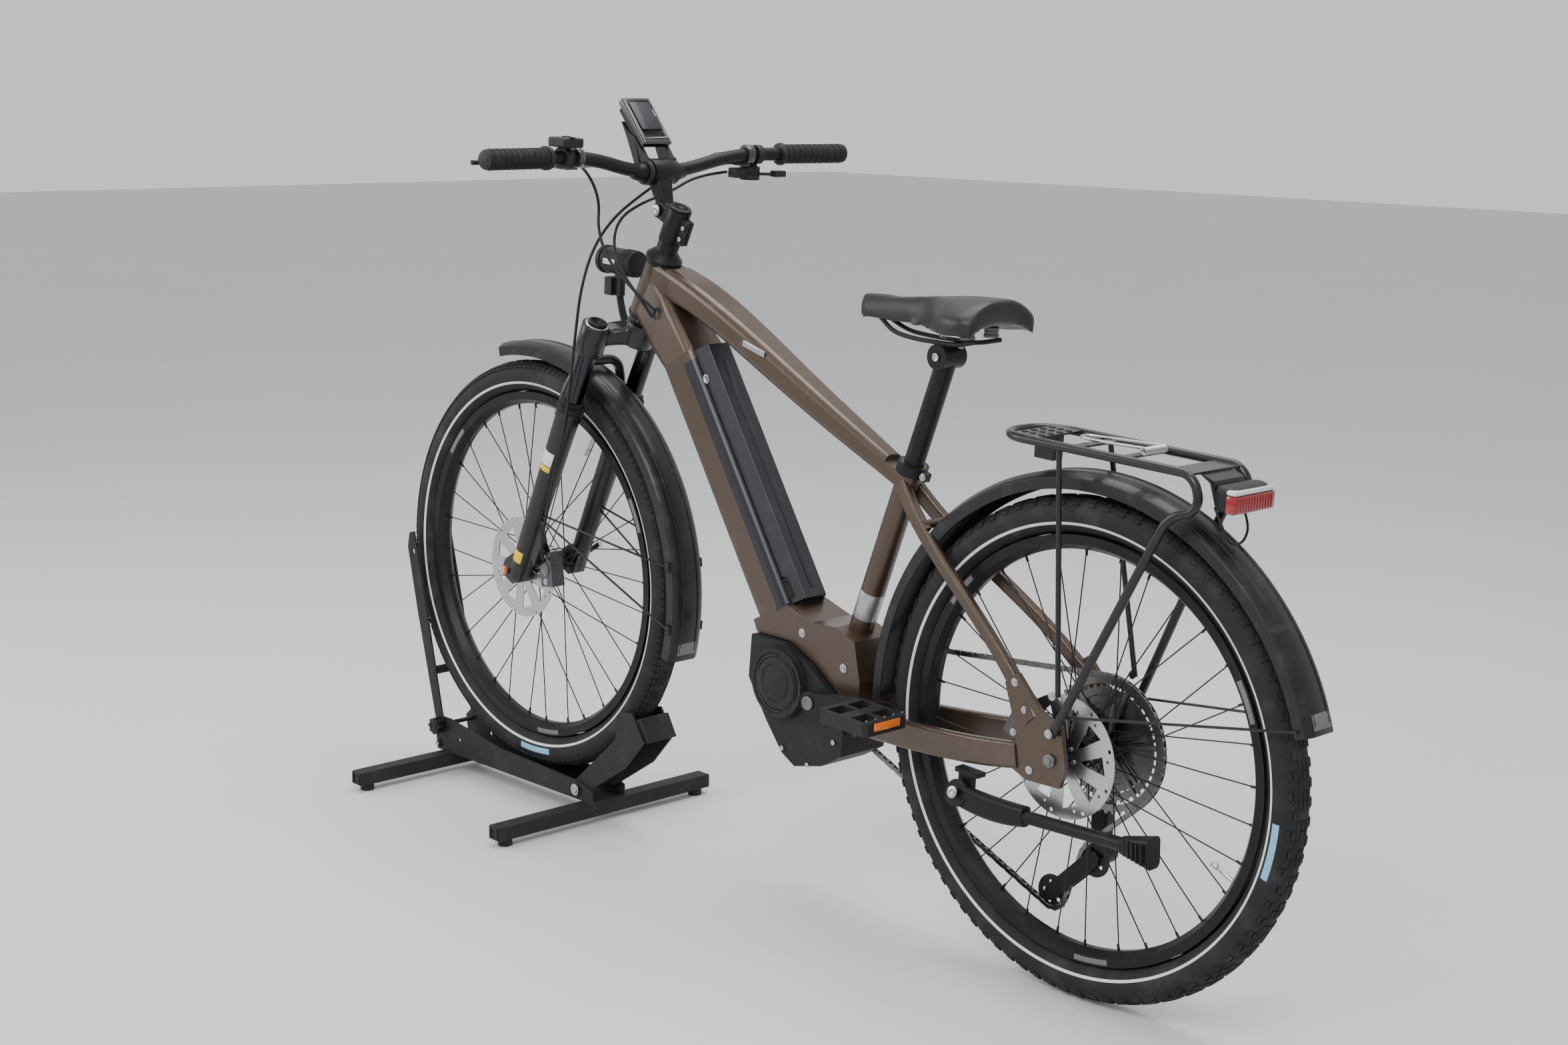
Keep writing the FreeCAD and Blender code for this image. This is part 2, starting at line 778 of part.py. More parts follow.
def front_axle():
    """Through-axle with a ring head on the left and a lever on the right."""
    side = size.leg_side
    shaft = across("axle_shaft", size.front_axle_radius, -(side + 14), side + 18, size.fork_rake, 0)
    head = across("axle_head", 8.0, side + 10.4, side + 20, size.fork_rake, 0)
    nut = across("axle_nut", 9.0, -(side + 24), -(side + 10.4), size.fork_rake, 0)
    lever = box("axle_lever", 9, 8, 58, shift(size.fork_rake, -(side + 26), 4) * turn((0, 1, 0), -35))
    return fused("front_axle", [shaft, head, nut, lever], FORK)


def fender_profile():
    """Arched section of a fender: a crown with two skirts, as radius and side."""
    half = size.fender_width / 2
    wall = size.fender_thickness
    top = size.fender_radius
    return [
        (top - 24, -half),
        (top - 8, -half),
        (top, -half + 12),
        (top, half - 12),
        (top - 8, half),
        (top - 24, half),
        (top - 24, half - wall),
        (top - 9, half - wall),
        (top - wall, half - 13),
        (top - wall, 13 - half),
        (top - 9, wall - half),
        (top - 24, wall - half),
    ]


def fender_arc(label, place, start, end):
    """A fender shell about the wheel axis, from one angle above forward to another."""
    return turned(label, "XY_Plane", fender_profile(), place * turn((0, 1, 0), -end), end - start)


def fork_point(angle, reach, side):
    """A point about the front axle in the fork frame, by its angle in the bike frame."""
    bend = math.radians(angle)
    around = FORK_IN_BIKE.Rotation.inverted().multVec(Vector(math.cos(bend), 0, math.sin(bend)))
    return Vector(value("fork_rake"), side, 0) + around * reach


def front_fender():
    """Front fender with its two wire stays and their clips."""
    shell = fender_arc("front_fender_shell", shift(size.fork_rake) * turn((0, 1, 0), LEAN_BACK), 75, 192)
    reach = value("fender_radius") - 14
    half = value("fender_width") / 2
    stays = []
    high = 128.0
    leg = value("leg_radius") - 6 * (1 - (high + 5) / (value("leg_top") + 5))
    for side in (1, -1):
        for angle, rise in ((184, 0), (168, 9)):
            end = fork_point(angle, reach, side * (half + 2.2))
            start = Vector(value("leg_forward") - leg - 0.6, side * value("leg_side"), high + rise)
            stays.append(rod(start, end, 1.9))
    return grouped("front_fender", [shell, solid("front_fender_stays", Part.makeCompound(stays))], FORK)


def caliper(label, axis_x, axis_z, angle, side, place):
    """Two-piston caliper that straddles its rotor, with a slot for the disc."""
    bend = math.radians(angle)
    reach = value("rotor_radius") - 8
    middle = Vector(axis_x + reach * math.cos(bend), 0, axis_z + reach * math.sin(bend))
    turned_place = Placement(middle, Rotation(Vector(0, 1, 0), -angle))
    block = Part.makeBox(32, 27, 62, Vector(-14, side - 13, -31))
    cap = Part.makeCylinder(13.0, 29, Vector(0, side - 14, 0), Vector(0, 1, 0))
    slot = Part.makeBox(40, value("rotor_thickness") + 1.4, 80,
                        Vector(-30, side - value("rotor_thickness") / 2 - 0.7, -40))
    shape = united([block, cap]).cut(slot)
    shape.Placement = turned_place
    return solid(label, shape, place)


def crown_arm(side):
    """One arm of the crown, from the steerer out to a shoulder."""
    low = value("crown_low")
    high = value("crown_high")
    inner = Vector(2, 0, (low + high) / 2 + 6)
    outer = Vector(value("leg_forward"), side * value("leg_side"), low + 6)
    return Part.makeLoft([
        crown_section(inner, 22, 18),
        crown_section((inner + outer) / 2 + Vector(0, 0, 6), 19, 16),
        crown_section(outer, 18, 15),
    ], True, False)


def crown_section(centre, half_deep, half_high):
    """An eight-sided section square to Y."""
    cut_off = 7
    points = []
    for x, z in ((1, 1), (-1, 1), (-1, -1), (1, -1)):
        long_way = [(x * half_deep, z * (half_high - cut_off)), (x * (half_deep - cut_off), z * half_high)]
        points += long_way if x * z > 0 else long_way[::-1]
    corners = [centre + Vector(x, 0, z) for x, z in points]
    return Part.makePolygon(corners + [corners[0]])


def fork_crown_shape():
    """Crown with its two shoulders and the steerer tube, bored for the stanchions."""
    side = value("leg_side")
    forward = value("leg_forward")
    low = value("crown_low")
    high = value("crown_high")
    shoulder = Part.makeCylinder(value("shoulder_radius"), high - low + 4, Vector(forward, side, low - 20))
    root = Part.makeCylinder(27.0, high - low - 8, Vector(0, 0, low + 14))
    steerer = Part.makeCylinder(value("steerer_radius"), value("stem_base_high") - low - 26, Vector(0, 0, low + 20))
    shape = united(both_sides(shoulder) + [crown_arm(1), crown_arm(-1), root, steerer])
    depth = value("crown_high") - value("crown_low") - 4
    for y in (side, -side):
        bore = Part.makeCylinder(value("stanchion_radius"), depth, Vector(forward, y, low - 24))
        shape = shape.cut(bore)
    return shape


def fork_stanchions():
    """Two polished tubes, fixed in the crown and sliding in the lower legs."""
    low = size.leg_top - 210
    top = size.crown_high - 28.2
    tubes = []
    for side in (size.leg_side, -size.leg_side):
        tubes.append(cylinder(f"stanchion_{len(tubes)}", size.stanchion_radius, top - low,
                              shift(size.leg_forward, float(side), low)))
    return grouped("fork_stanchions", tubes, FORK)


def headset_cover():
    """Conical headset cover and the spacers between it and the stem."""
    inner = size.steerer_radius + 0.1
    points = [
        (inner, size.head_tube_high + 0.6),
        (size.head_tube_radius + 3, size.head_tube_high + 0.6),
        (size.head_tube_radius + 3, size.head_tube_high + 5),
        (inner + 7, size.head_tube_high + 15),
        (inner + 4, size.head_tube_high + 17),
        (inner + 4, size.stem_base_low - 0.2),
        (inner, size.stem_base_low - 0.2),
    ]
    return turned("headset_rings", "XZ_Plane", points, FORK)


def stem_base():
    """Stem base clamped on the steerer, with two ears for the tilting arm."""
    low = value("stem_base_low")
    high = value("stem_base_high")
    radius = value("stem_base_radius")
    barrel = Part.makeCylinder(radius, high - low, Vector(0, 0, low))
    pinch = Part.makeBox(22, 14, high - low - 16, Vector(-radius - 14, -7, low + 8))
    slit = Part.makeBox(26, 2, high - low, Vector(-radius - 16, -1, low))
    bore = Part.makeCylinder(value("steerer_radius") + 0.1, high - low - 4, Vector(0, 0, low - 2))
    pivot_x = value("stem_pivot_forward")
    pivot_z = value("stem_pivot_high")
    ears = []
    for face in (10.6, -18.6):
        ear = Part.makeCylinder(13, 8, Vector(pivot_x, face, pivot_z), Vector(0, 1, 0))
        web = Part.makeBox(pivot_x, 8, 24, Vector(0, face, pivot_z - 12))
        ears += [ear, web]
    shape = united([barrel, pinch] + ears)
    hole = Part.makeCylinder(5.2, 60, Vector(pivot_x, -30, pivot_z), Vector(0, 1, 0))
    swing = Part.makeCylinder(14.5, 20.4, Vector(pivot_x, -10.2, pivot_z), Vector(0, 1, 0))
    return solid("stem_clamp", shape.cut(bore).cut(slit).cut(hole).cut(swing), FORK)


def headlamp():
    """Cylindrical headlamp on its bracket from the crown, with a small module below."""
    middle = Vector(93, 0, 598)
    body = Part.makeCylinder(22, 84, Vector(-42, 0, 0), Vector(1, 0, 0))
    bezel = Part.makeCylinder(24, 8, Vector(34, 0, 0), Vector(1, 0, 0))
    module = Part.makeBox(18, 26, 30, Vector(10, -13, -58))
    neck = Part.makeBox(14, 12, 40, Vector(-4, -6, -58))
    lamp = united([body, bezel, module, neck])
    lamp.Placement = Placement(middle, Rotation(Vector(0, 1, 0), value("head_lean")))
    foot_top = lamp.Placement.multVec(Vector(3, 0, -50))
    foot = Vector(27.5, 0, value("crown_low") + 22)
    strap = loft([
        section(foot, (0.3, 0, 1), 16, 5, 1.5),
        section((foot + foot_top) / 2 + Vector(4, 0, -2), (0.5, 0, 1), 14, 5, 1.5),
        section(foot_top, (0.3, 0, 1), 12, 6, 1.5),
    ])
    shape = united([lamp, strap]).cut(fork_crown_shape())
    return solid("headlamp", shape, FORK)


# ---------------------------------------------------------------- cockpit

BAR = FORK * shift(size.bar_forward, 0, size.bar_high) * turn((0, 1, 0), value("head_lean"))


def bar_point(side, clearance_x=0.0, clearance_z=0.0):
    """A point on or beside the handlebar by its distance from the middle, in the bar frame."""
    bends = bar_bends()
    across_way = abs(side)
    for (x0, y0, z0), (x1, y1, z1) in zip(bends, bends[1:]):
        if across_way <= y1:
            part = (across_way - y0) / (y1 - y0)
            return Vector(x0 + (x1 - x0) * part + clearance_x, side, z0 + (z1 - z0) * part + clearance_z)
    return Vector(bends[-1][0] + clearance_x, side, bends[-1][2] + clearance_z)


def bar_bends():
    """The handlebar's centre line to the left of the middle."""
    rise = value("bar_rise")
    sweep = value("bar_sweep")
    half = value("bar_half")
    return [(0, 0, 0), (0, 46, 0), (-sweep * 0.22, half * 0.42, rise), (-sweep, half, rise + 2)]


def bar_line(radius):
    """The handlebar's whole length as a round bar of a given radius."""
    left = [Vector(*point) for point in bar_bends()]
    return tube([Vector(p.x, -p.y, p.z) for p in reversed(left[1:])] + left[1:], radius)


def handlebar():
    """Risen and swept handlebar, thick where the stem clamps it."""
    shaft = bar_line(size.bar_radius)
    clamp = Part.makeCylinder(value("bar_clamp_radius"), 76, Vector(0, -38, 0), Vector(0, 1, 0))
    tapers = both_sides(Part.makeCone(value("bar_clamp_radius"), value("bar_radius"), 16, Vector(0, 38, 0),
                                      Vector(0, 1, 0)))
    return solid("handlebar", united([shaft, clamp] + tapers), BAR)


def grips():
    """Two grips with closed ends over the bar."""
    made = []
    radius = value("grip_radius")
    inner = value("bar_half") - value("grip_length")
    start = bar_point(inner)
    end = bar_point(value("bar_half"))
    run = (end - start).normalize()
    sleeve = Part.makeCylinder(radius, value("grip_length") + 8, start, run)
    flange = Part.makeCylinder(radius + 3, 6, start, run)
    bore = Part.makeCylinder(value("bar_radius") + 0.1, value("grip_length") + 5, start - run * 1, run)
    left = united([sleeve, flange]).cut(bore)
    for shape in both_sides(left):
        made.append(shape)
    return solid("grips", Part.makeCompound(made), BAR)


def stem_arm():
    """Tilting stem arm from its pivot to the bar clamp, with the pivot bolt."""
    pivot = BAR.inverse().multVec(FORK.multVec(Vector(value("stem_pivot_forward"), 0, value("stem_pivot_high"))))
    eye = Part.makeCylinder(14, 20, Vector(pivot.x, -10, pivot.z), Vector(0, 1, 0))
    clamp = Part.makeCylinder(value("bar_clamp_radius") + 6, 44, Vector(0, -22, 0), Vector(0, 1, 0))
    arm = loft([
        section(Vector(pivot.x, 0, pivot.z), (-pivot.x, 0, -pivot.z), 20, 22, 5),
        section(Vector(pivot.x / 2, 0, pivot.z / 2), (-pivot.x, 0, -pivot.z), 30, 25, 6),
        section(Vector(), (-pivot.x, 0, -pivot.z), 38, 28, 6),
    ])
    hole = Part.makeCylinder(value("bar_clamp_radius"), 60, Vector(0, -30, 0), Vector(0, 1, 0))
    bolt = Part.makeCylinder(5, 42, Vector(pivot.x, -21, pivot.z), Vector(0, 1, 0))
    heads = [Part.makeCylinder(8, 4, Vector(pivot.x, y, pivot.z), Vector(0, 1, 0)) for y in (19, -23)]
    body = united([clamp, arm]).cut(flat_piece([
        (pivot.x - 20, pivot.z - 20), (pivot.x + 20, pivot.z - 20),
        (pivot.x + 20, pivot.z + 15), (pivot.x - 20, pivot.z + 15),
    ], -40, -10).fuse(flat_piece([
        (pivot.x - 20, pivot.z - 20), (pivot.x + 20, pivot.z - 20),
        (pivot.x + 20, pivot.z + 15), (pivot.x - 20, pivot.z + 15),
    ], 10, 40)))
    return solid("stem_arm", united([body, eye, bolt] + heads).cut(hole), BAR)


def display_slope():
    """Placement of the display's face in the bar frame, tipped back towards the rider."""
    return shift(38, 0, 78) * turn((0, 1, 0), -47)


def display_mount():
    """Forked bracket from the bar up to the display."""
    inner = 23.0
    ring_out = value("bar_clamp_radius") + 5
    cheeks = []
    for face in (inner, -inner - 9):
        clamp = Part.makeCylinder(ring_out, 9, Vector(0, face, 0), Vector(0, 1, 0))
        cheek = flat_piece([(-14, 8), (16, -6), (46, 52), (62, 78), (44, 62), (2, 44)], face, face + 9)
        cheeks += [clamp, cheek]
    deck = Part.makeBox(70, 56, 7, Vector(-34, -28, -14.2))
    deck.Placement = display_slope()
    hole = Part.makeCylinder(value("bar_clamp_radius"), 90, Vector(0, -45, 0), Vector(0, 1, 0))
    under = Part.makeBox(140, 80, 60, Vector(-70, -40, -7.2))
    under.Placement = display_slope()
    return solid("display_mount", united(cheeks + [deck]).cut(under).cut(hole), BAR)


def display():
    """Tall display unit that slides on to its mount."""
    unit = Part.makeBox(95, 60, 13, Vector(-48, -30, -7))
    unit = unit.makeFillet(3.0, unit.Edges)
    unit.Placement = display_slope()
    return solid("display", unit, BAR)


def bar_band(side, width, radius):
    """A clamp band round the bar at a distance from the middle."""
    start = bar_point(side - width / 2)
    end = bar_point(side + width / 2)
    run = (end - start).normalize()
    band = Part.makeCylinder(radius, width, start, run)
    return band.cut(Part.makeCylinder(value("bar_radius") + 0.1, width + 4, start - run * 2, run))


BAND_GAP = 0.15
REMOTE_SIDE = 214.0
LEVER_SIDE = 186.0
SHIFTER_SIDE = 206.0
LEVER_PIVOT = Vector(30, 0, -10)


def remote():
    """Left control pod: a clamp band with a raised pad that holds the button."""
    band = bar_band(REMOTE_SIDE, 12, 17)
    top = bar_point(REMOTE_SIDE)
    pad = Part.makeBox(42, 40, 15, top + Vector(-24, -22, 17))
    pad = pad.makeFillet(3.0, pad.Edges)
    neck = Part.makeBox(16, 10, 14, top + Vector(-8, -5, 12))
    well = Part.makeCylinder(8.4, 12, top + Vector(-4, -2, 26))
    shape = united([band, pad, neck]).cut(well).cut(bar_line(value("bar_radius") + BAND_GAP))
    return solid("remote", shape, BAR)


def remote_button():
    """Round thumb button in the left pod."""
    top = bar_point(REMOTE_SIDE)
    return solid("remote_button", Part.makeCylinder(8.0, 5.4, top + Vector(-4, -2, 28.6)), BAR)


def lever_place(side):
    """Where a brake lever turns, in the bar frame."""
    return bar_point(side * LEVER_SIDE) + LEVER_PIVOT


def brake_bodies():
    """Both brake master cylinders with their clamp bands and lever forks."""
    made = []
    for side in (1, -1):
        pivot = lever_place(side)
        band = bar_band(side * LEVER_SIDE, 13, 16.5)
        tank = Part.makeCylinder(9.5, 56, pivot + Vector(-4, -side * 56, 0), Vector(0, side, 0))
        low = -8 if side > 0 else -15
        fork = Part.makeBox(42, 23, 20, pivot + Vector(-26, low, -10))
        slot = Part.makeBox(40, 30, 9.0, pivot + Vector(-5, -3 if side > 0 else -27, -4.5))
        pin_hole = Part.makeCylinder(3.2, 30, pivot + Vector(6, side * 6, -15))
        body = united([band, tank, fork]).cut(slot).cut(pin_hole)
        made.append(body.cut(bar_line(value("bar_radius") + BAND_GAP)))
    return solid("brake_bodies", Part.makeCompound(made), BAR)


def brake_lever(label, side):
    """One brake lever blade on its pivot pin."""
    pivot = lever_place(side) + Vector(6, side * 6, 0)
    blade = tube([
        pivot, pivot + Vector(14, side * 24, 0), pivot + Vector(16, side * 70, 0),
        pivot + Vector(8, side * 128, 0), pivot + Vector(14, side * 160, 0),
    ], 3.9)
    eye = Part.makeCylinder(7.0, 8.0, pivot + Vector(0, 0, -4))
    pin_shaft = Part.makeCylinder(3.0, 22, pivot + Vector(0, 0, -11))
    return solid(label, united([blade, eye, pin_shaft]), BAR)


def shifter_body():
    """Right shifter housing below the bar, with its clamp band."""
    place = bar_point(-SHIFTER_SIDE)
    band = bar_band(-SHIFTER_SIDE, 11, 16)
    housing = Part.makeCylinder(17, 22, place + Vector(16, 0, -44))
    nose = Part.makeBox(22, 44, 16, place + Vector(5, -4, -40))
    neck = Part.makeBox(13, 10, 18, place + Vector(4, -5, -26))
    shape = united([band, housing, nose, neck])
    gap = Part.makeCylinder(19, 5.4, place + Vector(16, 0, -36.7)).cut(
        Part.makeCylinder(6, 5.4, place + Vector(16, 0, -36.7)))
    return solid("shifter_body", shape.cut(gap).cut(bar_line(value("bar_radius") + BAND_GAP)), BAR)


def shift_lever():
    """Thumb paddle that turns about the shifter's spindle."""
    place = bar_point(-SHIFTER_SIDE) + Vector(16, 0, 0)
    hub_ring = Part.makeCylinder(15, 4.4, place + Vector(0, 0, -36.2))
    arm = flat_arm(place + Vector(0, 0, -36.2), Vector(-20, -40, 0), 11, 4.4)
    pad = Part.makeBox(14, 24, 10, place + Vector(-31, -56, -38))
    hole = Part.makeCylinder(6.3, 10, place + Vector(0, 0, -40))
    return solid("shift_lever", united([hub_ring, arm, pad]).cut(hole), BAR)


def flat_arm(start, reach, width, thickness):
    """A flat bar lying in the XY plane, from a start along a reach."""
    side = Vector(-reach.y, reach.x, 0).normalize() * (width / 2)
    corners = [start + side, start - side, start + reach - side, start + reach + side]
    return Part.Face(Part.makePolygon(corners + [corners[0]])).extrude(Vector(0, 0, thickness))


# ---------------------------------------------------------------- frame

DOWN_TUBE_TOP = from_fork(-138, 548)
DOWN_TUBE_BOTTOM = from_bracket(129, 101)
DOWN_TUBE_RUN = DOWN_TUBE_TOP - DOWN_TUBE_BOTTOM
DOWN_TUBE = Placement(
    DOWN_TUBE_BOTTOM,
    Rotation(Vector(0, 1, 0), -math.degrees(math.atan2(DOWN_TUBE_RUN.z, DOWN_TUBE_RUN.x))),
)
SEAT_TUBE = BRACKET * shift(-14, 0, 84) * turn((0, 1, 0), -value("seat_tube_lean"))
SEAT_IN_BIKE = BIKE.inverse() * SEAT_TUBE
REAR_GAP = value("dropout_half")


def seat_tube_point(along, side=0.0):
    """A point on the seat tube's axis, in the bike frame."""
    return SEAT_IN_BIKE.multVec(Vector(0, side, along))


def down_tube():
    """Down tube: full width beside the battery, narrower where it meets the head tube."""
    width = value("down_tube_width")
    depth = value("down_tube_depth")
    run = DOWN_TUBE_RUN
    head = from_fork(-4, 594)
    middle = (head + DOWN_TUBE_TOP) / 2 + Vector(4, 0, 3)
    blend = loft([
        section(head, head - middle, value("head_tube_radius") * 2 - 4, 92, 16),
        section(middle, head - DOWN_TUBE_TOP, width * 0.84, 88, 15),
        section(DOWN_TUBE_TOP, run, width, depth, 14),
    ])
    straight = loft([
        section(DOWN_TUBE_TOP, run, width, depth, 14),
        section(DOWN_TUBE_BOTTOM - run.normalize() * 14, DOWN_TUBE_TOP - DOWN_TUBE_BOTTOM, width, depth, 14),
    ], True)
    return [blend, straight]


def top_tube():
    """Top tube: deep and wide at the head, tapering to the seat tube."""
    head = from_fork(-4, 624)
    shoulder = from_fork(-128, 646)
    end = seat_tube_point(value("seat_tube_length") - 30)
    run = shoulder - end
    return [loft([
        section(head, head - shoulder, value("head_tube_radius") * 2 - 6, 60, 13),
        section(shoulder, head - end, 66, 47, 13),
        section(end + run * 0.57, run, 52, 44, 12),
        section(end + run * 0.14, run, 40, 35, 10),
        section(end, run, 34, 32, 10),
    ])]


def stays():
    """Chain stays, seat stays and dropout plates of the left side, and their mirror images."""
    width = value("stay_width")
    plate = REAR_GAP + value("dropout_thickness") / 2
    chain_root = from_bracket(-56, -20, 29)
    chain_rear = Vector(60, plate - 1, -9)
    chain_mid = Vector(186, 62, -35)
    chain_front = chain_root + (chain_mid - chain_root) * 0.37 + Vector(0, 8, 0)
    chain_points = [chain_root, chain_front, chain_mid, chain_rear]
    heights = (50, 44, 42, 38)
    chain_stay = loft([
        section(point, heading, width, height, 5)
        for point, heading, height in zip(chain_points, headings(chain_points), heights)
    ])
    seat_root = seat_tube_point(value("seat_tube_length") - 34, 13)
    kink = Vector(86, 71, 96)
    seat_mid = kink + (seat_root - kink) * 0.55 + Vector(0, 3, -6)
    seat_points = [seat_root, seat_mid, kink, Vector(40, plate - 1, 48)]
    seat_stay = loft([
        section(point, heading, width - 1, height, 5)
        for point, heading, height in zip(seat_points, headings(seat_points), (26, 22, 22, 26))
    ])
    dropout = flat_piece([
        (70, 110), (92, 92), (64, 22), (74, -28), (40, -40), (-20, -36), (-28, -6), (-15, 52), (24, 66),
    ], REAR_GAP, REAR_GAP + value("dropout_thickness"))
    left = united([chain_stay, seat_stay, dropout])
    return both_sides(left)


def headings(points):
    """The direction of travel at each point of a path."""
    ways = []
    for index in range(len(points)):
        before = points[max(index - 1, 0)]
        after = points[min(index + 1, len(points) - 1)]
        ways.append(after - before)
    return ways


def bracket_shell():
    """Motor bracket: the shell over the top and back of the drive unit."""
    points = [
        (172, 88), (100, 130), (40, 114), (-10, 118), (-54, 104), (-70, 42), (-70, -18), (-62, -46),
        (-55, -40), (-36, 8), (29, 51), (86, 73), (162, 70),
    ]
    corners = [from_bracket(x, z) for x, z in points]
    return flat_piece([(point.x, point.z) for point in corners], -value("motor_right_half"), 46)


def frame():
    """Welded frame with its battery bay, head tube bore, seat tube bore and axle holes."""
    head_tube = Part.makeCylinder(value("head_tube_radius"), value("head_tube_high") - value("head_tube_low"),
                                  Vector(0, 0, value("head_tube_low")))
    head_tube.Placement = FORK_IN_BIKE
    seat_tube = Part.makeCylinder(value("seat_tube_radius"), value("seat_tube_length") + 40, Vector(0, 0, -40))
    seat_tube.Placement = SEAT_IN_BIKE
    bridge = Part.makeCylinder(7, 60, Vector(316, -30, 268), Vector(0, 1, 0))
    shape = united([head_tube] + down_tube() + top_tube() + [seat_tube, bracket_shell(), bridge] + stays())
    head_bore = Part.makeCylinder(value("steerer_radius") + 0.6, 220, Vector(0, 0, value("head_tube_low") - 60))
    head_bore.Placement = FORK_IN_BIKE
    post_depth = value("seatpost_inside") + value("seatpost_lower") + 12
    post_bore = Part.makeCylinder(value("seatpost_radius") + 0.2, post_depth + 40,
                                  Vector(0, 0, value("seat_tube_length") - post_depth))
    post_bore.Placement = SEAT_IN_BIKE
    bay = Part.makeBox(value("battery_length") + 4, value("battery_width") - 4, 100,
                       Vector(6, 2 - value("battery_width") / 2, BAY_FLOOR))
    bay.Placement = DOWN_TUBE
    axle = Part.makeCylinder(value("front_axle_radius") + 0.2, 200, Vector(0, -100, 0), Vector(0, 1, 0))
    for tool in [head_bore, post_bore, bay, axle, tyre_room()] + fitted_rooms():
        shape = shape.cut(tool)
    return solid("frame", shape, BIKE)


def fitted_rooms():
    """The spaces in the frame for the headset, seat collar, battery cover, drive unit and chainring."""
    above_head = Part.makeCylinder(46, 60, Vector(0, 0, value("head_tube_high")))
    above_head.Placement = FORK_IN_BIKE * above_head.Placement
    collar_low = Vector(0, 0, value("seat_tube_length") - 16.2)
    collar = Part.makeCylinder(44, 70, collar_low).cut(Part.makeCylinder(value("seat_tube_radius"), 70, collar_low))
    collar.Placement = SEAT_IN_BIKE
    half = value("battery_width") / 2
    cover = Part.makeBox(value("battery_length") + 14, 2 * half + 1, 60, Vector(1, -half - 0.5, COVER_BASE - 0.2))
    cover.Placement = DOWN_TUBE * cover.Placement
    drive = [from_bracket(x, z) for x, z in MOTOR_OUTLINE]
    casing = flat_piece([(point.x, point.z) for point in drive], -70, 70)
    face = -value("chain_side") + 4.6
    chainring_room = Part.makeCylinder(value("ring_radius") + 10, 50, from_bracket(0, 0, face - 50), Vector(0, 1, 0))
    return [above_head, collar, cover, casing, chainring_room]


def tyre_room():
    """The space that the rear wheel and its fender need inside the frame."""
    half = value("fender_width") / 2 + 1.5
    return Part.makeCylinder(value("fender_radius") + 2.0, 2 * half, Vector(0, -half, 0), Vector(0, 1, 0))


BAY_FLOOR = -24.0
COVER_BASE = value("down_tube_depth") / 2 + 0.5


def battery():
    """Battery pack in its bay, with its faceted cover proud of the down tube."""
    length = value("battery_length")
    half = value("battery_width") / 2
    pack = Part.makeBox(length, 2 * half - 8, COVER_BASE - BAY_FLOOR - 1, Vector(8, 4 - half, BAY_FLOOR + 1))
    height = value("battery_cover_height")
    face = [(-half, 0), (half, 0), (half, 8), (half - 11, height), (11 - half, height), (-half, 8)]
    corners = [Vector(4, y, COVER_BASE + z) for y, z in face]
    cover = Part.Face(Part.makePolygon(corners + [corners[0]])).extrude(Vector(length + 8, 0, 0))
    return solid("battery", united([pack, cover]), BIKE * DOWN_TUBE)


MOTOR_OUTLINE = (
    (162, 68.4), (87, 71), (31, 49), (-34, 6), (-53, -42), (-50, -80), (-10, -106), (50, -123),
    (80, -108), (120, -63), (164, -3),
)


def motor():
    """Drive unit casing with its round side cover and the bore for the crank axle."""
    casing = flat_piece(MOTOR_OUTLINE, -value("motor_right_half"), value("motor_left_half"))
    cover = Part.makeCylinder(58, 8, Vector(89, value("motor_left_half"), 6), Vector(0, 1, 0))
    bore = Part.makeCylinder(12.6, 200, Vector(0, -100, 0), Vector(0, 1, 0))
    return solid("motor", united([casing, cover]).cut(bore), BRACKET)


def seat_clamp():
    """Seat collar with its pinch bolt ears at the back."""
    low = size.seat_tube_length - 16
    inner = size.seat_tube_radius + 0.1
    collar = turned("seat_collar", "XZ_Plane", [
        (inner, low), (inner + 4.5, low), (inner + 4.5, low + 15.8), (inner, low + 15.8),
    ])
    ears = box("seat_collar_ears", 12, 13, 13, shift(-(inner + 8.4), 0, low + 1.5))
    return fused("seat_clamp", [collar, ears], SEAT_TUBE)


# ---------------------------------------------------------------- seat

def seatpost():
    """Seatpost with its clamp head and the two saddle rails."""
    low = value("seat_tube_length") - value("seatpost_inside")
    top = value("seat_tube_length") + value("seatpost_show")
    post = Part.makeCylinder(value("seatpost_radius"), top - low, Vector(0, 0, low))
    head = Part.makeCylinder(19, 46, Vector(2, -23, top + 6), Vector(0, 1, 0))
    upright = turn((0, 1, 0), value("seat_tube_lean"))
    top_point = Vector(0, 0, top)
    rails = []
    for side in (-22, 22):
        points = [Vector(134, side * 0.35, 48), Vector(96, side * 0.75, 30), Vector(48, side, 27),
                  Vector(-36, side, 29), Vector(-78, side * 1.2, 40)]
        path = [top_point + upright.multVec(point) for point in points]
        rails.append(tube(path, 3.5))
    return solid("seatpost", united([post, head] + rails), SEAT_TUBE)


def saddle():
    """Saddle: narrow nose, waisted middle and broad tail."""
    top = SEAT_IN_BIKE.multVec(Vector(0, 0, value("seat_tube_length") + value("seatpost_show")))
    length = value("saddle_length")
    width = value("saddle_width")
    stations = [
        (0.625, 71, 0.16, 20), (0.56, 74, 0.26, 28), (0.40, 74, 0.30, 34), (0.16, 72, 0.42, 36),
        (-0.10, 70, 0.80, 38), (-0.24, 69, 1.0, 40), (-0.34, 70, 0.94, 36), (-0.375, 72, 0.76, 26),
    ]
    wires = []
    for share, height, spread, thick in stations:
        wires.append(section(top + Vector(length * share, 0, height), (1, 0, 0), width * spread, thick,
                             thick * 0.42))
    return solid("saddle", loft(wires), BIKE)


# ---------------------------------------------------------------- drive

CHAIN_WEB = 4.0


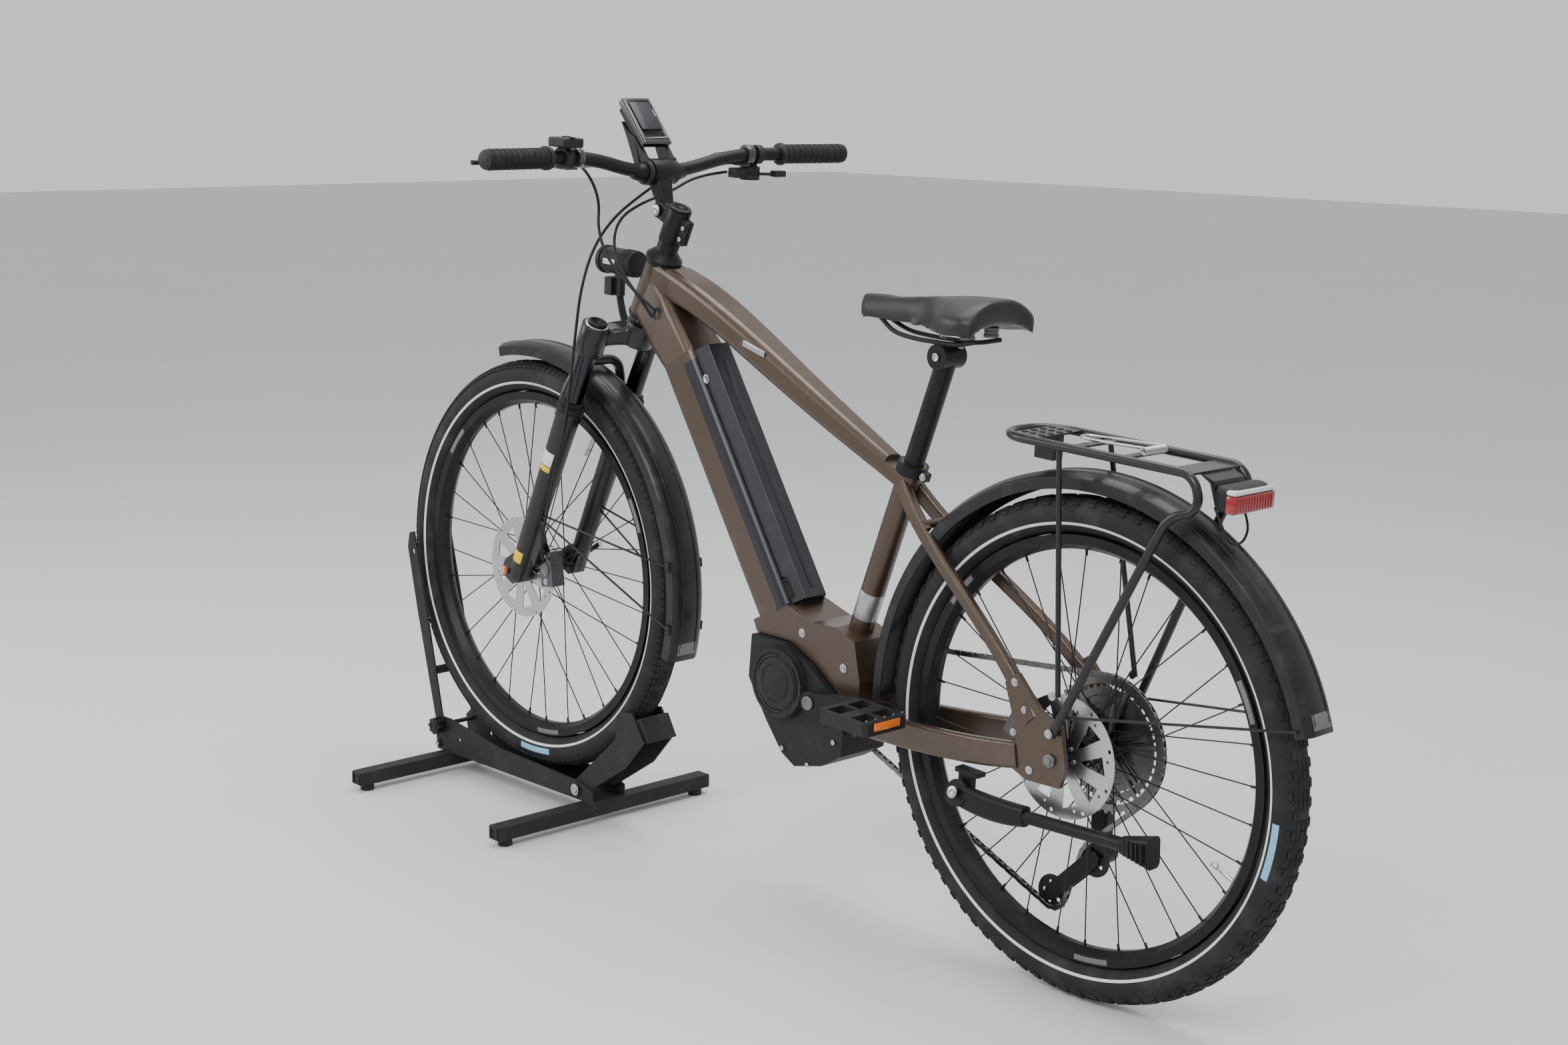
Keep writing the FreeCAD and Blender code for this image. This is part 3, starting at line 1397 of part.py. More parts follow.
def tangent_points(first, second):
    """Where a taut chain leaves one wheel and meets the next; each is x, z, radius and way round."""
    x0, z0, r0, way0 = first
    x1, z1, r1, way1 = second
    span = math.hypot(x1 - x0, z1 - z0)
    base = math.atan2(z1 - z0, x1 - x0)
    swing = math.acos((way0 * r0 - way1 * r1) / span)
    angle = base - swing
    normal = (math.cos(angle), math.sin(angle))
    leave = (x0 + way0 * r0 * normal[0], z0 + way0 * r0 * normal[1])
    meet = (x1 + way1 * r1 * normal[0], z1 + way1 * r1 * normal[1])
    return leave, meet


def chain_wheels(offset=0.0):
    """The four wheels that the chain runs round, in order, in the bike frame."""
    return [
        (value("bracket_forward"), -value("bracket_drop"), value("ring_radius") + offset, 1),
        (0.0, 0.0, value("cog_radius") + offset, 1),
        (GUIDE[0], GUIDE[1], value("pulley_radius") - offset, -1),
        (TENSION[0], TENSION[1], value("pulley_radius") + offset, 1),
    ]


GUIDE = (4.0, -178.0)
TENSION = (76.0, -252.0)


def chain_loop(offset):
    """The closed line of the chain, moved outwards by an offset."""
    wheels = chain_wheels(offset)
    meets = []
    for index in range(4):
        meets.append(tangent_points(wheels[index], wheels[(index + 1) % 4]))
    edges = []
    for index in range(4):
        leave, meet = meets[index]
        edges.append(Part.LineSegment(Vector(leave[0], 0, leave[1]), Vector(meet[0], 0, meet[1])).toShape())
        x, z, radius, way = wheels[(index + 1) % 4]
        depart = meets[(index + 1) % 4][0]
        start = math.atan2(meet[1] - z, meet[0] - x)
        end = math.atan2(depart[1] - z, depart[0] - x)
        sweep = (end - start) % (2 * math.pi)
        if way < 0:
            sweep -= 2 * math.pi
        middle = start + sweep / 2
        edges.append(Part.Arc(
            Vector(meet[0], 0, meet[1]),
            Vector(x + radius * math.cos(middle), 0, z + radius * math.sin(middle)),
            Vector(depart[0], 0, depart[1]),
        ).toShape())
    return Part.Wire(edges)


def chain():
    """Chain: two side plates round the whole loop, joined along the free runs."""
    side = value("chain_side")
    outer_loop = Part.Face(chain_loop(CHAIN_WEB))
    inner_loop = Part.Face(chain_loop(-CHAIN_WEB))
    plates = []
    for low in (-side + 2.2, -side - 3.6):
        whole = outer_loop.extrude(Vector(0, 1.4, 0))
        plate = whole.cut(inner_loop.extrude(Vector(0, 1.4, 0)))
        plate.translate(Vector(0, low, 0))
        plates.append(plate)
    wheels = chain_wheels()
    joiners = []
    for index in (0, 3):
        first = wheels[index]
        second = wheels[(index + 1) % 4]
        leave, meet = tangent_points(first, second)
        start = Vector(leave[0], -side, leave[1])
        end = Vector(meet[0], -side, meet[1])
        run = (end - start).normalize()
        start = start + run * (math.sqrt(12 * first[2]) + 8)
        end = end - run * (math.sqrt(12 * second[2]) + 8)
        lift = Vector(-run.z, 0, run.x) * 2
        corners = [start + lift, end + lift, end - lift, start - lift]
        corners = [corner - Vector(0, 2.3, 0) for corner in corners]
        joiners.append(Part.Face(Part.makePolygon(corners + [corners[0]])).extrude(Vector(0, 4.6, 0)))
    return solid("chain", united(plates + joiners), BIKE)


COG_TEETH = (50, 42, 36, 32, 28, 24, 21, 18, 16, 14, 12, 11)
COG_PITCH = 2.35


def cassette():
    """Twelve cogs on one core, the largest in line with the chain."""
    half = value("tooth_thickness") / 2
    side = value("chain_side")
    core = value("steerer_radius") + 3.2
    points = [(core - 2.8, -side + 2), (core, -side + 2)]
    for number, teeth in enumerate(COG_TEETH):
        tip = value("cog_radius") * teeth / COG_TEETH[0] + value("tooth_height")
        middle = -side - COG_PITCH * number
        thick = half if number == 0 else half - 0.2
        points += [(core, middle + thick), (tip, middle + thick), (tip, middle - thick), (core, middle - thick)]
    points += [(core - 2.8, points[-1][1])]
    corners = [Vector(radius, y, 0) for radius, y in points]
    face = Part.Face(Part.makePolygon(corners + [corners[0]]))
    return solid("cassette", face.revolve(Vector(), Vector(0, 1, 0), 360), BIKE)


def toothed_disc(label, radius, side, bore, place, windows=0):
    """A toothed disc for the chain, lightened by a ring of windows."""
    half = size.tooth_thickness / 2
    body = new_body(label, place)
    sketch = new_sketch(body, "XZ_Plane", label + "_outline", -(side + half))
    ring(sketch, 0, 0, radius)
    ring(sketch, 0, 0, bore)
    pad = body.newObject("PartDesign::Pad", label + "_pad")
    pad.Profile = sketch
    bind(pad, "Length", size.tooth_thickness)
    doc.recompute()
    if windows:
        holes = new_sketch(body, "XZ_Plane", label + "_window", -(side - half))
        ring(holes, radius * 0.62, 0, radius * 0.17)
        pocket = body.newObject("PartDesign::Pocket", label + "_windows")
        pocket.Profile = holes
        bind(pocket, "Length", size.tooth_thickness)
        pattern = body.newObject("PartDesign::PolarPattern", label + "_pattern")
        pattern.Originals = [pocket]
        pattern.Axis = (sketch, ["N_Axis"])
        pattern.Angle = 360
        pattern.Occurrences = windows
        body.Tip = pattern
    return body


def chainring():
    """Chainring bolted to its spider on the crank axle."""
    plate = toothed_disc("chainring_plate", size.ring_radius + size.tooth_height, -size.chain_side, 13.0, None, 8)
    side = value("chain_side")
    boss = across("chainring_boss", 24, -side - 9, -side - value("tooth_thickness") / 2, 0, 0)
    spider = fused("chainring_blank", [plate, boss])
    bore = across("chainring_bore", 12.1, -side - 20, -side + 20, 0, 0)
    return cut("chainring", spider, [bore], BRACKET)


CRANK_ANGLE = 169.3


def cranks():
    """Crank axle with both crank arms, opposite each other."""
    side = value("crank_side")
    thick = value("crank_thickness")
    length = value("crank_length")
    axle = Part.makeCylinder(12, 2 * (side + thick), Vector(0, -side - thick, 0), Vector(0, 1, 0))
    shapes = [axle]
    for way, face in ((1, side), (-1, -side - thick)):
        bend = math.radians(CRANK_ANGLE)
        end = Vector(way * length * math.cos(bend), 0, way * length * math.sin(bend))
        normal = Vector(-end.z, 0, end.x).normalize()
        outline_points = [normal * 16, end + normal * 12, end - normal * 12, normal * -16]
        arm = flat_piece([(point.x, point.z) for point in outline_points], face, face + thick)
        boss = Part.makeCylinder(18, thick, Vector(0, face, 0), Vector(0, 1, 0))
        eye = Part.makeCylinder(13, thick, Vector(end.x, face, end.z), Vector(0, 1, 0))
        hole = Part.makeCylinder(7.2, thick + 10, Vector(end.x, face - 5, end.z), Vector(0, 1, 0))
        shapes.append(united([arm, boss, eye]).cut(hole))
    return solid("cranks", united(shapes), BRACKET)


def pedal_axis(side):
    """Where a pedal's spindle meets the crank, from the crank axle."""
    bend = math.radians(CRANK_ANGLE)
    length = value("crank_length")
    return Vector(side * length * math.cos(bend), 0, side * length * math.sin(bend))


def pedal(label, side):
    """Platform pedal: an open cage round its spindle."""
    face = value("crank_side") + value("crank_thickness")
    width = value("pedal_width")
    length = value("pedal_length")
    height = value("pedal_height")
    inner = face + 8
    cage = Part.makeBox(length, width, height, Vector(-length / 2, inner, -height / 2))
    cage = cage.makeChamfer(6, [edge for edge in cage.Edges if abs(edge.tangentAt(0).z) > 0.9])
    barrel = Part.makeCylinder(9, width, Vector(0, inner, 0), Vector(0, 1, 0))
    openings = []
    for way in (-1, 1):
        reach = length / 2 - 20
        start = 11 if way > 0 else -11 - reach + 2
        openings.append(Part.makeBox(reach - 2, width / 2 - 12, 60, Vector(start, inner + 8, -30)))
        openings.append(Part.makeBox(reach - 2, width / 2 - 12, 60, Vector(start, inner + width / 2 + 4, -30)))
    for tool in openings:
        cage = cage.cut(tool)
    spindle = Part.makeCylinder(7.0, value("crank_thickness") + 9, Vector(0, face - value("crank_thickness"), 0),
                                Vector(0, 1, 0))
    shape = united([cage, barrel, spindle])
    if side < 0:
        shape = shape.mirror(Vector(), Vector(0, 1, 0))
    shape = shape.copy()
    shape.translate(pedal_axis(side))
    return solid(label, shape, BRACKET)


def derailleur():
    """Rear derailleur: knuckles, parallelogram and the cage plates beside the pulleys."""
    side = value("chain_side")
    guide = Vector(GUIDE[0], 0, GUIDE[1])
    tension = Vector(TENSION[0], 0, TENSION[1])
    along = (tension - guide).normalize()
    normal = Vector(-along.z, 0, along.x)
    hull = [guide - along * 13 + normal * 9, guide + normal * 14, tension + normal * 12,
            tension + along * 14 + normal * 4, tension + along * 14 - normal * 6, tension - normal * 12,
            guide - normal * 12, guide - along * 13 - normal * 5]
    profile = [(point.x, point.z) for point in hull]
    outer_plate = flat_piece(profile, -side - 6.6, -side - 5.0)
    inner_plate = flat_piece(profile, -side + 5.0, -side + 6.6)
    pins = [Part.makeCylinder(3.0, 13.2, Vector(x, -side - 6.6, z), Vector(0, 1, 0)) for x, z in (GUIDE, TENSION)]
    plate_face = REAR_GAP + value("dropout_thickness")
    top_knuckle = Part.makeCylinder(13, 22, Vector(16, -plate_face - 22.2, -30), Vector(0, 1, 0))
    low_knuckle = Part.makeCylinder(17, 26, Vector(guide.x, -side - 32.6, guide.z + 6), Vector(0, 1, 0))
    links = loft([
        section(Vector(16, -plate_face - 13, -34), (0, 0.2, -1), 20, 24, 4),
        section(Vector(24, -side - 40, -96), (0, 0.3, -1), 24, 30, 5),
        section(Vector(guide.x + 4, -side - 21, guide.z + 8), (0, 0.3, -1), 20, 26, 4),
    ])
    return solid("derailleur", united([outer_plate, inner_plate] + pins + [top_knuckle, low_knuckle, links]), BIKE)


def pulley(label, centre):
    """A toothed pulley on its bearing."""
    side = value("chain_side")
    disc = Part.makeCylinder(value("pulley_radius") + value("tooth_height") - 0.4, value("tooth_thickness"),
                             Vector(0, -side - value("tooth_thickness") / 2, 0), Vector(0, 1, 0))
    bearing = Part.makeCylinder(8, 8.6, Vector(0, -side - 4.3, 0), Vector(0, 1, 0))
    bore = Part.makeCylinder(3.1, 20, Vector(0, -side - 10, 0), Vector(0, 1, 0))
    holes = []
    for number in range(5):
        angle = math.radians(72 * number)
        holes.append(Part.makeCylinder(3.6, 10, Vector(15 * math.cos(angle), -side - 5, 15 * math.sin(angle)),
                                       Vector(0, 1, 0)))
    shape = united([disc, bearing])
    for tool in [bore] + holes:
        shape = shape.cut(tool)
    return solid(label, shape, BIKE * shift(centre[0], 0, centre[1]))


# ---------------------------------------------------------------- rear accessories

def rear_fender():
    """Rear fender shell from behind the bracket to the tail."""
    return fender_arc("rear_fender", BIKE, -3.5, 161.5)


def carrier():
    """Carrier: one bent rail with its struts, deck plates, tail bracket and the fender stays."""
    half = value("carrier_half")
    deck = value("carrier_height")
    radius = value("carrier_tube_radius")
    foot_side = REAR_GAP + value("dropout_thickness") + radius + 1.6
    left = [Vector(-6, foot_side, 40), Vector(-150, half + 8, 380), Vector(-196, half + 2, 394),
            Vector(-180, half, deck), Vector(166, half, deck - 4)]
    right = [Vector(point.x, -point.y, point.z) for point in reversed(left)]
    rail = tube(left + right, radius)
    members = [rail]
    for side in (1, -1):
        members.append(rod(Vector(-6, side * (foot_side + radius), 44), Vector(-6, side * (foot_side - radius - 1.6), 44),
                           4.0))
        members.append(rod(Vector(50, side * half, deck), Vector(-8, side * (foot_side - 4), 96), 4.0))
        members.append(rod(Vector(-6, side * (foot_side - 7), 66),
                           fender_point(160, side * (value("fender_width") / 2 + 2.2)), 2.0))
    for start, length in ((96, 46), (20, 16), (-62, 14), (-176, 40)):
        members.append(Part.makeBox(length, 2 * half, 3, Vector(start, -half, deck - 2)))
    members.append(Part.makeBox(34, 22, deck - value("fender_radius") - 4,
                                Vector(96, -11, value("fender_radius") + 2)))
    tail = flat_piece([(-176, deck - 2), (-196, deck - 8), (-206, deck - 44), (-202, deck - 44),
                       (-190, deck - 12), (-172, deck - 2)], -34, 34)
    members.append(tail)
    return solid("carrier", united(members), BIKE)


def fender_point(angle, side):
    """A point beside the rear fender's skirt."""
    reach = value("fender_radius") - 16
    bend = math.radians(angle)
    return Vector(reach * math.cos(bend), side, reach * math.sin(bend))


def carrier_clip():
    """Spring clip: a coil across the deck with two wire arms."""
    deck = value("carrier_height")
    coil_z = deck + 8
    coil = Part.makeCylinder(6, 50, Vector(-70, -25, coil_z), Vector(0, 1, 0))
    bore = Part.makeCylinder(2.6, 60, Vector(-70, -30, coil_z), Vector(0, 1, 0))
    arms = []
    for side in (-20, 20):
        arms.append(rod(Vector(-66, side, coil_z), Vector(52, side * 0.6, coil_z - 2), 2.4))
    bar = Part.makeCylinder(2.4, 30, Vector(50, -15, coil_z - 2), Vector(0, 1, 0))
    return solid("carrier_clip", united([coil.cut(bore)] + arms + [bar]).cut(bore), BIKE)


def tail_light():
    """Tail light: a curved housing whose lens faces back."""
    deck = value("carrier_height")
    wires = [
        section(Vector(-207.5, 0, deck - 28), (1, 0, 0), 88, 34, 9),
        section(Vector(-222, 0, deck - 28), (1, 0, 0), 92, 36, 10),
        section(Vector(-236, 0, deck - 28), (1, 0, 0), 78, 30, 10),
    ]
    return solid("tail_light", loft(wires), BIKE)


def kickstand_mount():
    """Kickstand bracket below the left chain stay, with its slanted pivot boss."""
    plate = Part.makeBox(44, 18, 7, Vector(132, 62, -66))
    post = Part.makeBox(24, 12, 34, Vector(146, 66, -96))
    axle = Part.makeCylinder(5.5, 42, *kick_axis_line(-20))
    swing = Part.makeCylinder(21, 28, *kick_axis_line(-4.4))
    return solid("kickstand_mount", united([plate, post]).cut(swing).fuse(axle).cut(stay_room()), BIKE)


KICK_PIVOT = Vector(160, 80, -96)
KICK_SPLAY = 17.0


def kick_axis_line(start):
    """Base point and direction of the kickstand's pivot, from a distance along it."""
    bend = math.radians(KICK_SPLAY)
    way = Vector(0, math.cos(bend), math.sin(bend))
    return KICK_PIVOT + way * start, way


def stay_room():
    """The space of the left chain stay above the kickstand bracket."""
    return Part.makeBox(80, 40, 60, Vector(110, 50, -59))


def kickstand_leg():
    """Folding leg: a broad knuckle, a thick upper part, a slim tube and a rubber foot."""
    base, way = kick_axis_line(-4.0)
    knuckle = Part.makeCylinder(20, 18, base, way)
    bore = Part.makeCylinder(5.7, 60, *kick_axis_line(-20))
    middle = KICK_PIVOT + way * 6
    upper = loft([
        section(middle + Vector(-6, 0, -2), (-1, 0, 0.02), 16, 34, 6),
        section(middle + Vector(-70, 0, -4), (-1, 0, 0.04), 20, 36, 8),
        section(middle + Vector(-128, 0, 2), (-1, 0, 0.06), 20, 30, 8),
    ])
    lower = rod(middle + Vector(-120, 0, 1), middle + Vector(-320, 0, 16), 9.5)
    foot = loft([
        section(middle + Vector(-300, 0, 14), (-1, 0, 0.07), 22, 24, 8),
        section(middle + Vector(-352, 0, 18), (-1, 0, 0.07), 30, 46, 9),
    ], True)
    return solid("kickstand_leg", united([knuckle, upper, lower, foot]).cut(bore), BIKE)


# ---------------------------------------------------------------- hoses

def hose_points():
    """Routes of the two hoses and the shift cable, in the bike frame."""
    bar = BIKE.inverse() * BAR
    left = bar.multVec(bar_point(LEVER_SIDE - 44) + Vector(39.5, 0, -12))
    right = bar.multVec(bar_point(-LEVER_SIDE + 44) + Vector(39.5, 0, -12))
    shifter = bar.multVec(bar_point(-SHIFTER_SIDE + 43) + Vector(20, 0, -31))
    port = from_fork(-58, 592, 40)
    port_low = from_fork(-58, 580, 41)
    leg = [from_fork(4, 330, 95), from_fork(0, 250, 92), from_fork(-6, 160, 84), from_fork(-12, 84, 80),
           from_fork(-14, 62, 62)]
    front = [
        right, right + Vector(30, 44, -14), from_fork(118, 742, -62), from_fork(120, 708, -20),
        from_fork(112, 674, 30), from_fork(92, 630, 74), from_fork(66, 570, 98), from_fork(38, 500, 106),
        from_fork(18, 415, 102),
    ] + leg
    rear = [
        left, left + Vector(24, -40, -16), from_fork(112, 706, 72), from_fork(84, 668, 84),
        from_fork(40, 636, 84), from_fork(-12, 612, 66), port,
    ]
    shift_line = [
        shifter, shifter + Vector(22, 46, -6), from_fork(96, 726, -60), from_fork(98, 706, -6),
        from_fork(92, 682, 38), from_fork(58, 652, 66), from_fork(14, 624, 68), from_fork(-30, 600, 54),
        port_low,
    ]
    return {"hose_front": [front], "cables_rear": [rear, shift_line]}


def hoses():
    """The hose nodes; prints each bend radius and compares each volume with its length."""
    made = {}
    for label, routes in hose_points().items():
        tubes = []
        for points in routes:
            path, radii = route(points)
            made_tube = tube(points, HOSE_RADIUS)
            expected = math.pi * HOSE_RADIUS ** 2 * path.Length
            print(label, "length", round(path.Length), "radii", [round(radius) for radius in radii],
                  "volume ratio", round(made_tube.Volume / expected, 3))
            tubes.append(made_tube)
        made[label] = solid(label, Part.makeCompound(tubes), BIKE)
    return made


HOSE_RADIUS = 2.5


# ---------------------------------------------------------------- the whole

def build():
    """Makes every sub-part and returns them by node name."""
    made = {
        "stand_crossbars": stand_crossbars(),
        "stand_feet": stand_feet(),
        "stand_channel": stand_channel(),
        "stand_cradle": stand_cradle(),
        "stand_hoop": stand_hoop(),
        "stand_knob": stand_knob(),
        "fork_lowers": fork_lowers(),
        "front_axle": front_axle(),
        "front_fender": front_fender(),
        "front_caliper": caliper("front_caliper", value("fork_rake"), 0, 147, value("front_rotor_side"), FORK),
        "fork_crown": solid("fork_crown", fork_crown_shape(), FORK),
        "fork_stanchions": fork_stanchions(),
        "stem_base": grouped("stem_base", [headset_cover(), stem_base()]),
        "headlamp": headlamp(),
        "stem_arm": stem_arm(),
        "handlebar": handlebar(),
        "grips": grips(),
        "display_mount": display_mount(),
        "display": display(),
        "remote": remote(),
        "remote_button": remote_button(),
        "brake_bodies": brake_bodies(),
        "brake_lever_left": brake_lever("brake_lever_left", 1),
        "brake_lever_right": brake_lever("brake_lever_right", -1),
        "shifter_body": shifter_body(),
        "shift_lever": shift_lever(),
        "frame": frame(),
        "battery": battery(),
        "motor": motor(),
        "seat_clamp": seat_clamp(),
        "seatpost": seatpost(),
        "saddle": saddle(),
        "chain": chain(),
        "cassette": cassette(),
        "chainring": chainring(),
        "cranks": cranks(),
        "pedal_left": pedal("pedal_left", 1),
        "pedal_right": pedal("pedal_right", -1),
        "derailleur": derailleur(),
        "guide_pulley": pulley("guide_pulley", GUIDE),
        "tension_pulley": pulley("tension_pulley", TENSION),
        "rear_fender": rear_fender(),
        "carrier": carrier(),
        "carrier_clip": carrier_clip(),
        "tail_light": tail_light(),
        "rear_caliper": caliper("rear_caliper", 0, 0, 26, value("rear_rotor_side"), BIKE),
        "kickstand_mount": kickstand_mount(),
        "kickstand_leg": kickstand_leg(),
    }
    wheels = (
        ("front", FRONT_AXLE, size.front_flange_half, size.front_hub_half, size.front_rotor_side),
        ("rear", BIKE, size.rear_flange_half, size.dropout_half - 0.5, size.rear_rotor_side),
    )
    for end, place, flange, half, rotor_side in wheels:
        made[f"{end}_tyre"] = tyre(f"{end}_tyre", place)
        made[f"{end}_rim"] = rim(f"{end}_rim", place)
        made[f"{end}_spokes"] = spokes(f"{end}_spokes", flange, place)
        made[f"{end}_hub"] = hub(f"{end}_hub", flange, half, place)
        made[f"{end}_rotor"] = rotor(f"{end}_rotor", rotor_side, place)
    made.update(hoses())
    return made


def check(made):
    """Stops when any object failed or any sub-part has no valid shape."""
    for item in doc.Objects:
        if "Invalid" in item.State or "Error" in item.State:
            raise RuntimeError(f"{item.Label} failed: {item.State}")
    for label, item in made.items():
        if item.Shape.isNull() or not item.Shape.isValid():
            raise RuntimeError(f"{label} has no valid shape")
        if not item.Shape.Solids:
            raise RuntimeError(f"{label} has no solid")


def write(made):
    """Writes every sub-part to its own file."""
    os.makedirs("parts", exist_ok=True)
    for label, item in made.items():
        item.Label = label
        item.Shape.exportStep(f"parts/{label}.step")
    print(len(made), "sub-parts written")


sub_parts = build()
doc.recompute()
check(sub_parts)
write(sub_parts)
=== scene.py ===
"""Looks of an electric bicycle held by its front wheel in a floor stand."""

from __future__ import annotations

import math
from dataclasses import dataclass
from enum import Enum
from typing import Callable, Iterable, Optional, Sequence

import bpy
from mathutils import Matrix, Vector
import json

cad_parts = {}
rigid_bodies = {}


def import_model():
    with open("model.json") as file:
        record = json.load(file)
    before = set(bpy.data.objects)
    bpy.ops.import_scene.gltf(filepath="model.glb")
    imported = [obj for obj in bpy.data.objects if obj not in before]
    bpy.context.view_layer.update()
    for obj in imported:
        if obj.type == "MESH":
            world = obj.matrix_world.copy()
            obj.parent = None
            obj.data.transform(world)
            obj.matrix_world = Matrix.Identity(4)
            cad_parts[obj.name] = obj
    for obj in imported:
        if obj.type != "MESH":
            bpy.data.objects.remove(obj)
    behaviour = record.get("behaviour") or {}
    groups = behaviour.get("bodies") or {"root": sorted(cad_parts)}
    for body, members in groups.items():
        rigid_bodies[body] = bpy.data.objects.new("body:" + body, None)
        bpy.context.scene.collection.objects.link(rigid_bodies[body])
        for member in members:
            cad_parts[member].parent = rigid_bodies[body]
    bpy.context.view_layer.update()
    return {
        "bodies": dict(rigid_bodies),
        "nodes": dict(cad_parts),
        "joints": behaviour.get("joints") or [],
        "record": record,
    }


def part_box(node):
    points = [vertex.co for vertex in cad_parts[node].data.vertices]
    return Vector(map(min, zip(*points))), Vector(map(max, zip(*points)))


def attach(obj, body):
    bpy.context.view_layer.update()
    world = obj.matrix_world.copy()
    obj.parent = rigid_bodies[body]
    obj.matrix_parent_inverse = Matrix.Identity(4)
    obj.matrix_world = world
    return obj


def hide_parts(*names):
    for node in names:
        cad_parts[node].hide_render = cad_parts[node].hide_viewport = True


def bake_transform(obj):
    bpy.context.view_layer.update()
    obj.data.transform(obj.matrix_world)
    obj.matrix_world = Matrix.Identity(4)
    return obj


Number3 = Sequence[float]
REAR_AXLE = Vector((-0.6184, 0.0, 0.370))
FRONT_AXLE = Vector((0.63585, 0.0, 0.4363))
WHEEL_LIFT = 0.0663
WHEELBASE = 1.256
PITCH = math.asin(WHEEL_LIFT / WHEELBASE)
BIKE = Matrix.Translation(REAR_AXLE) @ Matrix.Rotation(-PITCH, 4, "Y")
HEAD_LEAN = math.radians(22.5)
SEAT_LEAN = math.radians(17.5)
FORK_LEAN = HEAD_LEAN + PITCH
FORK_BASE = BIKE @ Vector((1.20796, 0.0, -0.0199))
FORK = Matrix.Translation(FORK_BASE) @ Matrix.Rotation(-FORK_LEAN, 4, "Y")
BAR = Matrix.Translation(FORK @ Vector((0.075, 0.0, 0.777))) @ Matrix.Rotation(-PITCH, 4, "Y")
BRACKET = BIKE @ Matrix.Translation((0.480, 0.0, -0.042))
SEAT_TUBE = BRACKET @ Matrix.Translation((-0.014, 0.0, 0.084)) @ Matrix.Rotation(-SEAT_LEAN, 4, "Y")
SIDE = Vector((0.0, 1.0, 0.0))
UP = Vector((0.0, 0.0, 1.0))


def log(text: str) -> None:
    """Prints one line about a finished piece."""
    print("[scene]", text)


class Body(str, Enum):
    """The moving bodies that pieces ride on."""

    STAND = "stand"
    CRADLE = "stand_cradle_arm"
    KNOB = "stand_clamp_knob"
    SLIDER = "fork_slider"
    FRONT_WHEEL = "front_wheel"
    UPPER = "fork_upper"
    COCKPIT = "handlebar_set"
    FRAME = "bike_frame"
    SEAT = "seat_set"
    REAR_WHEEL = "rear_wheel"
    CRANKS = "crank_set"
    CASSETTE = "cassette_body"
    PEDAL_LEFT = "pedal_left_body"
    PEDAL_RIGHT = "pedal_right_body"
    KICKSTAND = "kickstand_body"
    CLIP = "carrier_clip_body"


# ---------------------------------------------------------------- materials


class Wire:
    """A shader output that can be used in sums."""

    def __init__(self, graph: "Graph", socket: bpy.types.NodeSocket) -> None:
        self.graph = graph
        self.socket = socket

    def math(self, operation: str, other: "Wire | float" = 0.0, swap: bool = False) -> "Wire":
        """Joins this output and another value with one maths node.

        Args:
            operation: the maths node's operation.
            other: the second value.
            swap: whether the second value comes first.

        Returns:
            The result.
        """
        pair = (other, self) if swap else (self, other)
        node = self.graph.node("ShaderNodeMath", {0: pair[0], 1: pair[1]}, operation=operation)
        return Wire(self.graph, node.outputs[0])

    def __add__(self, other: "Wire | float") -> "Wire":
        """Sum."""
        return self.math("ADD", other)

    def __radd__(self, other: float) -> "Wire":
        """Sum, the number first."""
        return self.math("ADD", other, True)

    def __sub__(self, other: "Wire | float") -> "Wire":
        """Difference."""
        return self.math("SUBTRACT", other)

    def __rsub__(self, other: float) -> "Wire":
        """Difference, the number first."""
        return self.math("SUBTRACT", other, True)

    def __mul__(self, other: "Wire | float") -> "Wire":
        """Product."""
        return self.math("MULTIPLY", other)

    def __rmul__(self, other: float) -> "Wire":
        """Product, the number first."""
        return self.math("MULTIPLY", other, True)

    def __truediv__(self, other: "Wire | float") -> "Wire":
        """Quotient."""
        return self.math("DIVIDE", other)

    def above(self, limit: float) -> "Wire":
        """One where the value is above the limit, and zero elsewhere."""
        return self.math("GREATER_THAN", limit)

    def between(self, low: float, high: float) -> "Wire":
        """One between two limits, and zero elsewhere."""
        return self.above(low) * (1.0 - self.above(high))

    def absolute(self) -> "Wire":
        """The value without its sign."""
        return self.math("ABSOLUTE")

    def ramp(self, low: float, high: float, start: float = 0.0, end: float = 1.0) -> "Wire":
        """Maps the span from low to high smoothly on to another span."""
        values = {"Value": self, "From Min": low, "From Max": high, "To Min": start, "To Max": end}
        node = self.graph.node("ShaderNodeMapRange", values, interpolation_type="SMOOTHSTEP")
        return Wire(self.graph, node.outputs[0])


